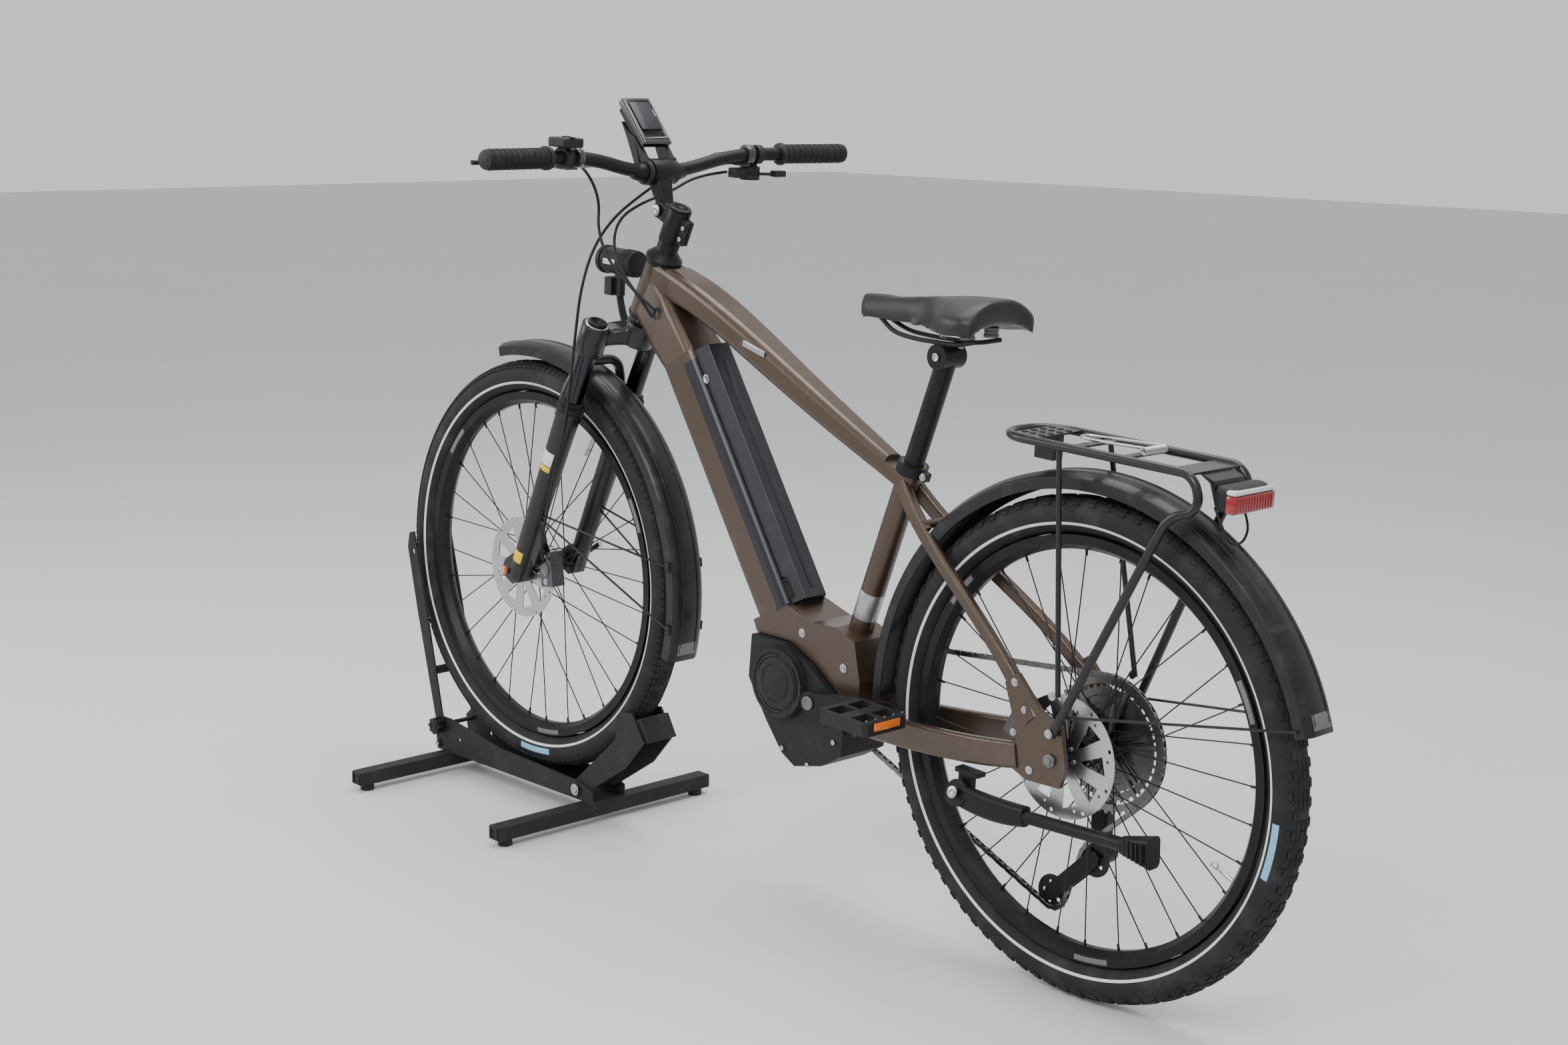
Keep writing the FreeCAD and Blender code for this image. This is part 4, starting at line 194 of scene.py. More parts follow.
class Graph:
    """One material's node tree."""

    def __init__(self, name: str) -> None:
        self.material = bpy.data.materials.new(name)
        self.material.use_nodes = True
        self.tree = self.material.node_tree
        self.tree.nodes.clear()
        output = self.tree.nodes.new("ShaderNodeOutputMaterial")
        self.surface = self.tree.nodes.new("ShaderNodeBsdfPrincipled")
        self.tree.links.new(self.surface.outputs[0], output.inputs["Surface"])

    def node(self, kind: str, values: Optional[dict] = None, **settings: object) -> bpy.types.Node:
        """Adds one node.

        Args:
            kind: the node's type.
            values: numbers, colours or wires by input name or index.
            settings: the node's own properties.

        Returns:
            The new node.
        """
        made = self.tree.nodes.new(kind)
        for key, setting in settings.items():
            setattr(made, key, setting)
        for key, entry in (values or {}).items():
            self.feed(made.inputs[key], entry)
        return made

    def feed(self, socket: bpy.types.NodeSocket, entry: object) -> None:
        """Links a wire to an input, or sets the input's own value."""
        if isinstance(entry, Wire):
            self.tree.links.new(entry.socket, socket)
        elif isinstance(entry, tuple) and len(entry) == 3 and socket.type == "RGBA":
            socket.default_value = (*entry, 1.0)
        else:
            socket.default_value = entry

    def place(self, stretch: Number3 = (1.0, 1.0, 1.0)) -> Wire:
        """Object coordinates, stretched along each axis."""
        coordinates = self.node("ShaderNodeTexCoord")
        mapped = self.node("ShaderNodeMapping", {0: Wire(self, coordinates.outputs["Object"]),
                                                 "Scale": tuple(stretch)})
        return Wire(self, mapped.outputs[0])

    def axis(self, name: str) -> Wire:
        """One object coordinate."""
        split = self.node("ShaderNodeSeparateXYZ", {0: self.place()})
        return Wire(self, split.outputs[name])

    def noise(self, scale: float, detail: float = 3.0, stretch: Number3 = (1.0, 1.0, 1.0)) -> Wire:
        """A noise value from 0 to 1."""
        made = self.node("ShaderNodeTexNoise",
                         {"Vector": self.place(stretch), "Scale": scale, "Detail": detail})
        return Wire(self, made.outputs[0])

    def cells(self, scale: float, stretch: Number3 = (1.0, 1.0, 1.0)) -> Wire:
        """The distance to the nearest cell centre."""
        made = self.node("ShaderNodeTexVoronoi", {"Vector": self.place(stretch), "Scale": scale})
        return Wire(self, made.outputs["Distance"])

    def blend(self, factor: Wire, first: object, second: object) -> Wire:
        """A colour between two colours."""
        made = self.node("ShaderNodeMix", {0: factor}, data_type="RGBA")
        self.feed(made.inputs[6], first)
        self.feed(made.inputs[7], second)
        return Wire(self, made.outputs[2])

    def bump(self, height: Wire, strength: float, distance: float) -> Wire:
        """A normal from a height."""
        made = self.node("ShaderNodeBump", {"Height": height, "Strength": strength, "Distance": distance})
        return Wire(self, made.outputs[0])

    def shade(self, **entries: object) -> bpy.types.Material:
        """Sets the surface's inputs and returns the material."""
        for key, entry in entries.items():
            self.feed(self.surface.inputs[key.replace("_", " ")], entry)
        return self.material


class Texture(Enum):
    """How a finish's surface is broken up."""

    POWDER = "powder"
    GRAINED = "grained"
    BRUSHED = "brushed"
    POLISHED = "polished"


@dataclass(frozen=True)
class Finish:
    """A surface finish.

    Args:
        name: the material's name.
        colour: linear base colour.
        roughness: mean roughness.
        metallic: how metallic it is.
        coat: clear coat weight.
        texture: how the surface is broken up.
        wear: how far dust and handling lighten it.
        glow: emission strength.
    """

    name: str
    colour: tuple[float, float, float]
    roughness: float
    metallic: float = 0.0
    coat: float = 0.0
    texture: Texture = Texture.GRAINED
    wear: float = 0.25
    glow: float = 0.0

    def make(self) -> bpy.types.Material:
        """Builds the material."""
        graph = Graph(self.name)
        broad = graph.noise(9.0, 4.0)
        fine = {
            Texture.POWDER: lambda: graph.noise(1400.0, 2.0) * 0.6 + graph.noise(420.0, 2.0) * 0.4,
            Texture.GRAINED: lambda: graph.noise(2200.0, 2.0),
            Texture.BRUSHED: lambda: graph.noise(260.0, 3.0, (1.0, 14.0, 1.0)),
            Texture.POLISHED: lambda: graph.noise(60.0, 1.0),
        }[self.texture]()
        strength = {Texture.POWDER: 0.35, Texture.GRAINED: 0.16, Texture.BRUSHED: 0.10,
                    Texture.POLISHED: 0.01}
        dust = graph.noise(34.0, 6.0).ramp(0.5, 0.78) * self.wear
        pale = tuple(min(1.0, channel * 1.25 + 0.035) for channel in self.colour)
        deep = tuple(channel * 0.82 for channel in self.colour)
        ground = graph.blend(broad, deep, self.colour)
        colour = graph.blend(dust, ground, pale)
        rough = (self.roughness - 0.05) + broad * 0.08 + fine * 0.06 + dust * 0.2
        normal = graph.bump(fine, strength[self.texture], 0.0004)
        entries = {"Base_Color": colour, "Roughness": rough, "Metallic": self.metallic, "Normal": normal,
                   "Coat_Weight": self.coat, "Coat_Roughness": 0.12,
                   "Specular_IOR_Level": 0.5 if self.metallic > 0.7 or self.coat > 0.5 else 0.26}
        if self.glow:
            entries["Emission_Color"] = self.colour
            entries["Emission_Strength"] = self.glow
        return graph.shade(**entries)


class Palette:
    """Every material, made when it is first used."""

    FINISHES = {
        "stand": Finish("stand_powder", (0.018, 0.018, 0.019), 0.62, texture=Texture.POWDER, wear=0.35),
        "plastic": Finish("black_plastic", (0.014, 0.014, 0.015), 0.48, wear=0.3),
        "fork": Finish("fork_paint", (0.011, 0.011, 0.012), 0.34, coat=0.3, wear=0.2),
        "stanchion": Finish("stanchion_dark", (0.045, 0.045, 0.050), 0.16, 1.0, texture=Texture.POLISHED,
                            wear=0.1),
        "steel": Finish("bright_steel", (0.55, 0.55, 0.57), 0.28, 1.0, texture=Texture.BRUSHED, wear=0.1),
        "spoke": Finish("spoke_black", (0.022, 0.022, 0.024), 0.32, 0.6, wear=0.1),
        "rotor": Finish("rotor_steel", (0.50, 0.50, 0.52), 0.30, 1.0, texture=Texture.BRUSHED, wear=0.2),
        "fender": Finish("fender_satin", (0.010, 0.010, 0.011), 0.36, coat=0.15, wear=0.35),
        "caliper": Finish("caliper_gloss", (0.035, 0.036, 0.040), 0.22, 0.5, coat=0.6, wear=0.1),
        "anodised": Finish("black_anodised", (0.016, 0.016, 0.018), 0.38, 0.5, wear=0.2),
        "rubber": Finish("rubber", (0.012, 0.012, 0.013), 0.72, texture=Texture.POWDER, wear=0.3),
        "housing": Finish("cable_housing", (0.010, 0.010, 0.011), 0.40, wear=0.05),
        "screen": Finish("screen_glass", (0.004, 0.004, 0.005), 0.06, coat=1.0, texture=Texture.POLISHED,
                         wear=0.02),
        "battery": Finish("battery_satin", (0.022, 0.023, 0.028), 0.42, 0.2, coat=0.2, wear=0.25),
        "motor": Finish("motor_matt", (0.011, 0.011, 0.012), 0.55, texture=Texture.POWDER, wear=0.3),
        "grey": Finish("plain_grey", (0.16, 0.16, 0.165), 0.45, 0.3, wear=0.2),
        "chain": Finish("chain_nickel", (0.20, 0.19, 0.18), 0.34, 1.0, texture=Texture.BRUSHED, wear=0.3),
        "orange": Finish("orange_mark", (0.85, 0.16, 0.01), 0.42, wear=0.1),
        "red": Finish("red_lens", (0.26, 0.003, 0.003), 0.14, coat=0.6, texture=Texture.POLISHED, wear=0.05),
        "amber": Finish("amber_reflector", (0.80, 0.17, 0.01), 0.16, coat=0.8, texture=Texture.POLISHED,
                        wear=0.05),
        "clear": Finish("clear_lens", (0.62, 0.64, 0.67), 0.08, coat=1.0, texture=Texture.POLISHED,
                        wear=0.02),
        "white": Finish("white_patch", (0.70, 0.70, 0.70), 0.40, wear=0.1),
        "yellow": Finish("yellow_patch", (0.80, 0.52, 0.02), 0.42, wear=0.1),
        "badge": Finish("silver_badge", (0.42, 0.42, 0.43), 0.34, 0.8, texture=Texture.BRUSHED, wear=0.1),
    }

    def __init__(self) -> None:
        self.made: dict[str, bpy.types.Material] = {}

    def get(self, name: str) -> bpy.types.Material:
        """The material of that name."""
        if name not in self.made:
            special = {"frame": self.frame_paint, "tyre_front": lambda: self.tyre("front", FRONT_AXLE),
                       "tyre_rear": lambda: self.tyre("rear", REAR_AXLE), "vinyl": self.vinyl,
                       "floor": self.floor}
            self.made[name] = special[name]() if name in special else self.FINISHES[name].make()
        return self.made[name]

    def frame_paint(self) -> bpy.types.Material:
        """Bronze metallic paint with fine flakes under a satin coat."""
        graph = Graph("frame_bronze")
        flakes = graph.cells(2600.0)
        broad = graph.noise(5.0, 3.0)
        base = graph.blend(broad, (0.052, 0.032, 0.020), (0.066, 0.041, 0.026))
        colour = graph.blend(flakes.ramp(0.1, 0.5), (0.110, 0.074, 0.050), base)
        dust = graph.noise(30.0, 6.0).ramp(0.55, 0.8) * 0.2
        ahead, high = graph.axis("X") + 0.01336, graph.axis("Z") - 0.46106
        along = ahead * 0.530 + high * 0.848
        above = high * 0.530 - ahead * 0.848
        inlay = along.between(0.004, 0.440) * above.between(0.014, 0.046)
        rough = 0.36 + broad * 0.06 + dust * 0.4 + inlay * 0.06
        normal = graph.bump(flakes, 0.05, 0.0002)
        painted = graph.blend(dust, colour, (0.15, 0.12, 0.10))
        return graph.shade(Base_Color=graph.blend(inlay, painted, (0.012, 0.0125, 0.016)), Roughness=rough,
                           Metallic=0.55,
                           Coat_Weight=0.35, Coat_Roughness=0.22, Normal=normal)

    def tyre(self, end: str, axle: Vector) -> bpy.types.Material:
        """Tyre rubber with a reflective stripe and a patch of pale blue on each wall."""
        graph = Graph(f"{end}_tyre_rubber")
        across = graph.axis("X") - axle.x
        high = graph.axis("Z") - axle.z
        radius = (across * across + high * high).math("SQRT")
        angle = high.math("ARCTAN2", across)
        side = graph.axis("Y").absolute().above(0.012)
        stripe = radius.between(0.3265, 0.3305) * side
        start = -1.72 if end == "front" else -3.08
        patch = radius.between(0.3345, 0.3450) * side * angle.between(start, start + 0.24)
        grit = graph.noise(900.0, 3.0)
        lines = (radius * 1400.0).math("SINE").ramp(-1.0, 1.0)
        dust = graph.noise(24.0, 6.0).ramp(0.45, 0.8) * 0.5
        rubber = graph.blend(dust, (0.014, 0.014, 0.015), (0.060, 0.056, 0.052))
        striped = graph.blend(stripe, rubber, (0.62, 0.62, 0.60))
        colour = graph.blend(patch, striped, (0.20, 0.42, 0.60))
        rough = 0.72 + dust * 0.2 - stripe * 0.4
        normal = graph.bump(grit * 0.6 + lines * 0.4, 0.25, 0.0005)
        return graph.shade(Base_Color=colour, Roughness=rough, Normal=normal, Specular_IOR_Level=0.25)

    def vinyl(self) -> bpy.types.Material:
        """Smooth black cover of the saddle with a faint leather grain."""
        graph = Graph("saddle_vinyl")
        grain = graph.cells(900.0)
        broad = graph.noise(18.0, 4.0)
        dust = graph.noise(40.0, 6.0).ramp(0.5, 0.8) * 0.3
        colour = graph.blend(dust, (0.011, 0.011, 0.012), (0.040, 0.038, 0.037))
        rough = 0.38 + broad * 0.12 + dust * 0.3
        return graph.shade(Base_Color=colour, Roughness=rough, Normal=graph.bump(grain, 0.14, 0.0003),
                           Coat_Weight=0.1, Coat_Roughness=0.35, Specular_IOR_Level=0.3)

    def floor(self) -> bpy.types.Material:
        """Plain pale floor."""
        graph = Graph("floor_pale")
        broad = graph.noise(1.5, 3.0)
        return graph.shade(Base_Color=graph.blend(broad, (0.60, 0.60, 0.60), (0.64, 0.64, 0.64)),
                           Roughness=0.6 + broad * 0.1)


# ---------------------------------------------------------------- modelling


class Shop:
    """Makes pieces with the modelling operators and hands them to the frame."""

    def __init__(self, palette: Palette) -> None:
        self.palette = palette

    def rest(self) -> None:
        """Leaves edit mode and deselects everything."""
        if bpy.context.object and bpy.context.object.mode != "OBJECT":
            bpy.ops.object.mode_set(mode="OBJECT")
        bpy.ops.object.select_all(action="DESELECT")

    def own(self, name: str) -> bpy.types.Object:
        """Names the operator's new object and moves its place into the mesh."""
        made = bpy.context.object
        made.name = name
        made.data.name = name
        bpy.ops.object.transform_apply(location=True, rotation=True, scale=True)
        return made

    def focus(self, piece: bpy.types.Object) -> None:
        """Makes one object the selected and active one."""
        self.rest()
        piece.select_set(True)
        bpy.context.view_layer.objects.active = piece

    def cylinder(self, name: str, radius: float, length: float, centre: Number3, axis: Number3 = (0, 1, 0),
                 sides: int = 32, bevel: float = 0.0006) -> bpy.types.Object:
        """A round piece with softened rims.

        Args:
            name: the piece's name.
            radius: its radius.
            length: its length along the axis.
            centre: its middle.
            axis: the way it points.
            sides: how many sides it has.
            bevel: how far the rims are softened.

        Returns:
            The piece.
        """
        self.rest()
        turn = Vector(axis).to_track_quat("Z", "Y").to_euler()
        bpy.ops.mesh.primitive_cylinder_add(vertices=sides, radius=radius, depth=length, location=centre,
                                            rotation=turn)
        piece = self.own(name)
        return self.soften(piece, bevel) if bevel else piece

    def block(self, name: str, dims: Number3, place: Matrix, bevel: float = 0.001) -> bpy.types.Object:
        """A box with softened edges, centred on its place."""
        self.rest()
        bpy.ops.mesh.primitive_cube_add(size=1.0, location=place.to_translation(), rotation=place.to_euler(),
                                        scale=tuple(dims))
        return self.soften(self.own(name), bevel)

    def soften(self, piece: bpy.types.Object, width: float, segments: int = 2) -> bpy.types.Object:
        """Rounds the sharp edges of a piece."""
        self.focus(piece)
        if width:
            self.modify(piece, "BEVEL", width=width, segments=segments, limit_method="ANGLE", angle_limit=0.6)
        bpy.ops.object.shade_smooth_by_angle(angle=0.7)
        return piece

    def modify(self, piece: bpy.types.Object, kind: str, **settings: object) -> None:
        """Adds a modifier and applies it."""
        self.focus(piece)
        modifier = piece.modifiers.new(kind.lower(), kind)
        for key, setting in settings.items():
            setattr(modifier, key, setting)
        bpy.ops.object.modifier_apply(modifier=modifier.name)

    def pick(self, piece: bpy.types.Object, test: Callable[[bpy.types.MeshPolygon], bool]) -> None:
        """Goes into edit mode with the faces that pass the test selected."""
        self.focus(piece)
        mesh = piece.data
        for edge in mesh.edges:
            edge.select = False
        for vertex in mesh.vertices:
            vertex.select = False
        for face in mesh.polygons:
            face.select = test(face)
        bpy.ops.object.mode_set(mode="EDIT")
        bpy.ops.mesh.select_mode(type="FACE")

    def raise_faces(self, piece: bpy.types.Object, test: Callable[[bpy.types.MeshPolygon], bool],
                    inset: float, lift: float, single: bool = True) -> None:
        """Insets the faces that pass the test and moves them along their normals."""
        self.pick(piece, test)
        if inset:
            bpy.ops.mesh.inset(thickness=inset, use_individual=single)
        bpy.ops.mesh.extrude_region_shrink_fatten(TRANSFORM_OT_shrink_fatten={"value": lift})
        bpy.ops.object.mode_set(mode="OBJECT")

    def cap_faces(self, axis: Vector) -> Callable[[bpy.types.MeshPolygon], bool]:
        """A test for the end face on one side of a round piece."""
        return lambda face: len(face.vertices) > 6 and face.normal.dot(axis) > 0.95

    def bolt(self, name: str, centre: Number3, axis: Number3, radius: float = 0.004, depth: float = 0.003,
             washer: bool = False) -> bpy.types.Object:
        """A socket-headed bolt: a softened head with a hexagonal recess."""
        way = Vector(axis).normalized()
        head = self.cylinder(name, radius, depth, Vector(centre) + way * depth / 2, way, 18, 0.0)
        test = self.cap_faces(way)
        self.raise_faces(head, test, radius * 0.42, -depth * 0.6, False)
        self.soften(head, radius * 0.12)
        if washer:
            ring = self.cylinder(name + "_washer", radius * 1.45, 0.0008, Vector(centre) + way * 0.0004,
                                 way, 20, 0.0002)
            return self.join(name, [head, ring])
        return head

    def join(self, name: str, pieces: Sequence[bpy.types.Object]) -> bpy.types.Object:
        """Several pieces as one object."""
        self.rest()
        for piece in pieces:
            piece.select_set(True)
        bpy.context.view_layer.objects.active = pieces[0]
        if len(pieces) > 1:
            bpy.ops.object.join()
        pieces[0].name = name
        pieces[0].data.name = name
        return pieces[0]

    def copies(self, piece: bpy.types.Object, places: Iterable[Matrix]) -> list[bpy.types.Object]:
        """Copies of a piece made at the origin, one at each place; the first pattern is removed."""
        made = []
        for place in places:
            twin = piece.copy()
            twin.data = piece.data.copy()
            twin.data.transform(place)
            bpy.context.collection.objects.link(twin)
            made.append(twin)
        bpy.data.objects.remove(piece, do_unlink=True)
        return made

    def cord(self, name: str, points: Sequence[Number3], radius: float, closed: bool = False,
             order: int = 3) -> bpy.types.Object:
        """A round cord along a smooth line through guide points, as a mesh."""
        self.rest()
        curve = bpy.data.curves.new(name, "CURVE")
        curve.dimensions = "3D"
        curve.resolution_u = 10
        spline = curve.splines.new("NURBS")
        spline.points.add(len(points) - 1)
        for target, point in zip(spline.points, points):
            target.co = (*point, 1.0)
        spline.order_u = order
        spline.use_cyclic_u = closed
        spline.use_endpoint_u = not closed
        curve.bevel_depth = radius
        curve.bevel_resolution = 3
        curve.use_fill_caps = True
        made = bpy.data.objects.new(name, curve)
        bpy.context.collection.objects.link(made)
        self.focus(made)
        bpy.ops.object.convert(target="MESH")
        made = bpy.context.object
        self.pick(made, lambda face: True)
        bpy.ops.mesh.normals_make_consistent(inside=False)
        bpy.ops.object.mode_set(mode="OBJECT")
        bpy.ops.object.shade_smooth()
        return made

    def hand_in(self, piece: bpy.types.Object, finish: str, body: Optional[Body], slot: str,
                *replaced: str) -> bpy.types.Object:
        """Gives a piece its material and body.

        Args:
            piece: the finished piece.
            finish: its material's name.
            body: the body it rides on, or None to leave it on no body.
            slot: the record's material slot; not used.
            replaced: the nodes that it stands for.

        Returns:
            The piece.
        """
        piece.data.materials.clear()
        piece.data.materials.append(self.palette.get(finish))
        if body is not None:
            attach(piece, body.value)
        if replaced:
            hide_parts(*replaced)
        log(f"{piece.name}: {finish}")
        return piece


# ---------------------------------------------------------------- wheels


@dataclass
class WheelSizes:
    """Sizes of one wheel, in metres."""

    axle: Vector
    tyre_middle: float = 0.3395
    tyre_half: float = 0.0272
    rim_inner: float = 0.290
    spokes: int = 32
    rotor_side: float = 0.044
    hub_half: float = 0.050


class Wheel:
    """The looks of one wheel: knobbed tyre, nipples, valve, rim patches, rotor bolts."""

    def __init__(self, shop: Shop, end: str, body: Body, sizes: WheelSizes) -> None:
        self.shop = shop
        self.end = end
        self.body = body
        self.sizes = sizes

    def around(self, angle: float, radius: float, side: float = 0.0) -> Vector:
        """A point on the wheel by its angle above forward and its radius."""
        return self.sizes.axle + Vector((radius * math.cos(angle), side, radius * math.sin(angle)))

    def tyre(self) -> None:
        """Casing with a fine centre tread and rows of shoulder knobs."""
        sizes = self.sizes
        self.shop.rest()
        steps, rows = 168, 24
        bpy.ops.mesh.primitive_torus_add(major_segments=steps, minor_segments=rows,
                                         major_radius=sizes.tyre_middle,
                                         minor_radius=sizes.tyre_half, location=sizes.axle,
                                         rotation=(math.pi / 2, 0.0, 0.0))
        piece = self.shop.own(f"{self.end}_tyre_casing")

        def where(face: bpy.types.MeshPolygon) -> tuple[int, float, float]:
            """The face's step round the wheel, its angle across the tread and the angle's sign."""
            spot = face.center - sizes.axle
            radius = math.hypot(spot.x, spot.z)
            across = math.degrees(math.atan2(spot.y, radius - sizes.tyre_middle))
            step = int((math.degrees(math.atan2(spot.z, spot.x)) % 360.0) / (360.0 / steps))
            return step, abs(across), math.copysign(1.0, across)

        def shoulder(face: bpy.types.MeshPolygon) -> bool:
            """True for the faces that become shoulder knobs."""
            step, across, sign = where(face)
            offset = 0 if sign > 0 else 1
            return 28 < across < 58 and (step + offset) % 2 == 0

        def middle(face: bpy.types.MeshPolygon) -> bool:
            """True for the faces that become the low centre tread."""
            step, across, _ = where(face)
            return across < 14 and step % 3 != 0 or 16 < across < 28 and step % 2 == 1

        self.shop.raise_faces(piece, shoulder, 0.0011, 0.0024)
        self.shop.raise_faces(piece, middle, 0.0008, 0.0014)
        self.shop.focus(piece)
        bpy.ops.object.shade_smooth_by_angle(angle=0.5)
        self.shop.hand_in(piece, f"tyre_{self.end}", self.body, "tyre_rubber", f"{self.end}_tyre")

    def nipples(self) -> None:
        """A nipple where each spoke meets the rim."""
        shop = self.shop
        pattern = shop.cylinder("nipple", 0.0021, 0.011, (0, 0, 0), (0, 0, 1), 8, 0.0004)
        places = []
        for number in range(self.sizes.spokes):
            angle = 2 * math.pi * (number + 0.5) / self.sizes.spokes + PITCH
            spot = self.around(angle, self.sizes.rim_inner - 0.003, 0.003 if number % 2 else -0.003)
            turn = Vector((math.cos(angle), 0, math.sin(angle))).to_track_quat("Z", "Y").to_matrix().to_4x4()
            places.append(Matrix.Translation(spot) @ turn)
        piece = shop.join(f"{self.end}_nipples", shop.copies(pattern, places))
        shop.hand_in(piece, "spoke", self.body, "rim_black")

    def valve(self, angle: float) -> None:
        """Silver valve with its cap and lock ring."""
        shop = self.shop
        way = Vector((math.cos(angle), 0, math.sin(angle)))
        stem = shop.cylinder("valve_stem", 0.0030, 0.034, self.around(angle, self.sizes.rim_inner - 0.015),
                             way, 14)
        cap = shop.cylinder("valve_cap", 0.0042, 0.011, self.around(angle, self.sizes.rim_inner - 0.036),
                            way, 14, 0.001)
        ring = shop.cylinder("valve_ring", 0.0058, 0.003, self.around(angle, self.sizes.rim_inner + 0.0005),
                             way, 16)
        shop.hand_in(shop.join(f"{self.end}_valve", [stem, cap, ring]), "steel", self.body, "bright_metal")

    def patches(self, angles: Sequence[float]) -> None:
        """Blank grey patches on the rim's flanks."""
        shop = self.shop
        plates = []
        for angle in angles:
            for side in (1, -1):
                for step in range(-4, 5):
                    bend = angle + math.radians(step * 1.25)
                    place = Matrix.Translation(self.around(bend, 0.3052, side * 0.0162))
                    place = place @ Matrix.Rotation(-bend + math.pi / 2, 4, "Y")
                    plates.append(shop.block("rim_patch", (0.0068, 0.0004, 0.008), place, 0.0001))
        shop.hand_in(shop.join(f"{self.end}_rim_patches", plates), "grey", self.body, "rim_black")

    def rotor_bolts(self) -> None:
        """Six bolts that hold the rotor to the hub, and the hub's end rings."""
        shop = self.shop
        parts = []
        for number in range(6):
            spot = self.around(math.radians(60 * number + 12), 0.0185, self.sizes.rotor_side + 0.001)
            parts.append(shop.bolt("rotor_bolt", spot, SIDE, 0.0032, 0.0022))
        shop.hand_in(shop.join(f"{self.end}_rotor_bolts", parts), "steel", self.body, "bright_metal")
        rings = []
        for side in (1, -1):
            spot = self.around(0, 0, side * (self.sizes.hub_half - 0.006))
            rings.append(shop.cylinder("hub_ring", 0.0142, 0.006, spot, SIDE, 36, 0.0012))
        shop.hand_in(shop.join(f"{self.end}_hub_rings", rings), "anodised", self.body, "black_anodised")

    def build(self) -> None:
        """Builds the whole wheel."""
        self.tyre()
        self.nipples()
        self.valve(2.1 if self.end == "front" else 3.6)
        self.patches((0.7, 2.7, 4.6))
        self.rotor_bolts()


# ---------------------------------------------------------------- cords


class Cords:
    """The brake hoses and the shift cable, as smooth lines through the same guide points."""

    FRONT = [
        (0.3528, -0.142, 1.1599), (0.3835, -0.098, 1.1475), (0.3757, -0.062, 1.1343),
        (0.3921, -0.020, 1.1045),
        (0.3996, 0.030, 1.0704), (0.4005, 0.074, 1.0220), (0.4029, 0.098, 0.9567), (0.4078, 0.106, 0.8815),
        (0.4263, 0.102, 0.7961), (0.4503, 0.095, 0.7134), (0.4812, 0.092, 0.6395), (0.5146, 0.084, 0.5557),
        (0.5419, 0.080, 0.4845), (0.5496, 0.062, 0.4638),
    ]
    REAR = [
        (0.3528, 0.142, 1.1599), (0.3776, 0.102, 1.1452), (0.3858, 0.072, 1.0992), (0.3769, 0.084, 1.0529),
        (0.3510, 0.084, 1.0050), (0.3144, 0.066, 0.9610), (0.2815, 0.040, 0.9231),
    ]
    SHIFT = [
        (0.3322, -0.163, 1.1439), (0.3545, -0.117, 1.1391), (0.3627, -0.060, 1.1104),
        (0.3731, -0.006, 1.0932),
        (0.3781, 0.038, 1.0690), (0.3603, 0.066, 1.0272), (0.3327, 0.068, 0.9830), (0.3033, 0.054, 0.9424),
        (0.2867, 0.041, 0.9123),
    ]
    RADIUS = 0.0025

    def __init__(self, shop: Shop) -> None:
        self.shop = shop

    def build(self) -> None:
        """Builds the three cords; each is left on no body."""
        front = self.shop.cord("front_brake_hose", self.FRONT, self.RADIUS)
        self.shop.hand_in(front, "housing", None, "rubber_black", "hose_front")
        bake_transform(front)
        for name, points in (("rear_brake_hose", self.REAR), ("shift_cable", self.SHIFT)):
            cord = self.shop.cord(name, points, self.RADIUS)
            self.shop.hand_in(cord, "housing", None, "rubber_black", "cables_rear")
            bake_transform(cord)


# ---------------------------------------------------------------- drive


@dataclass
class ChainSizes:
    """Sizes of the chain and its wheels, in metres, in the bike's frame."""

    pitch: float = 0.0127
    side: float = 0.045
    ring: tuple[float, float, float, int] = (0.480, -0.042, 0.0809, 1)
    cog: tuple[float, float, float, int] = (0.0, 0.0, 0.1011, 1)
    guide: tuple[float, float, float, int] = (0.004, -0.178, 0.0243, -1)
    tension: tuple[float, float, float, int] = (0.076, -0.252, 0.0243, 1)


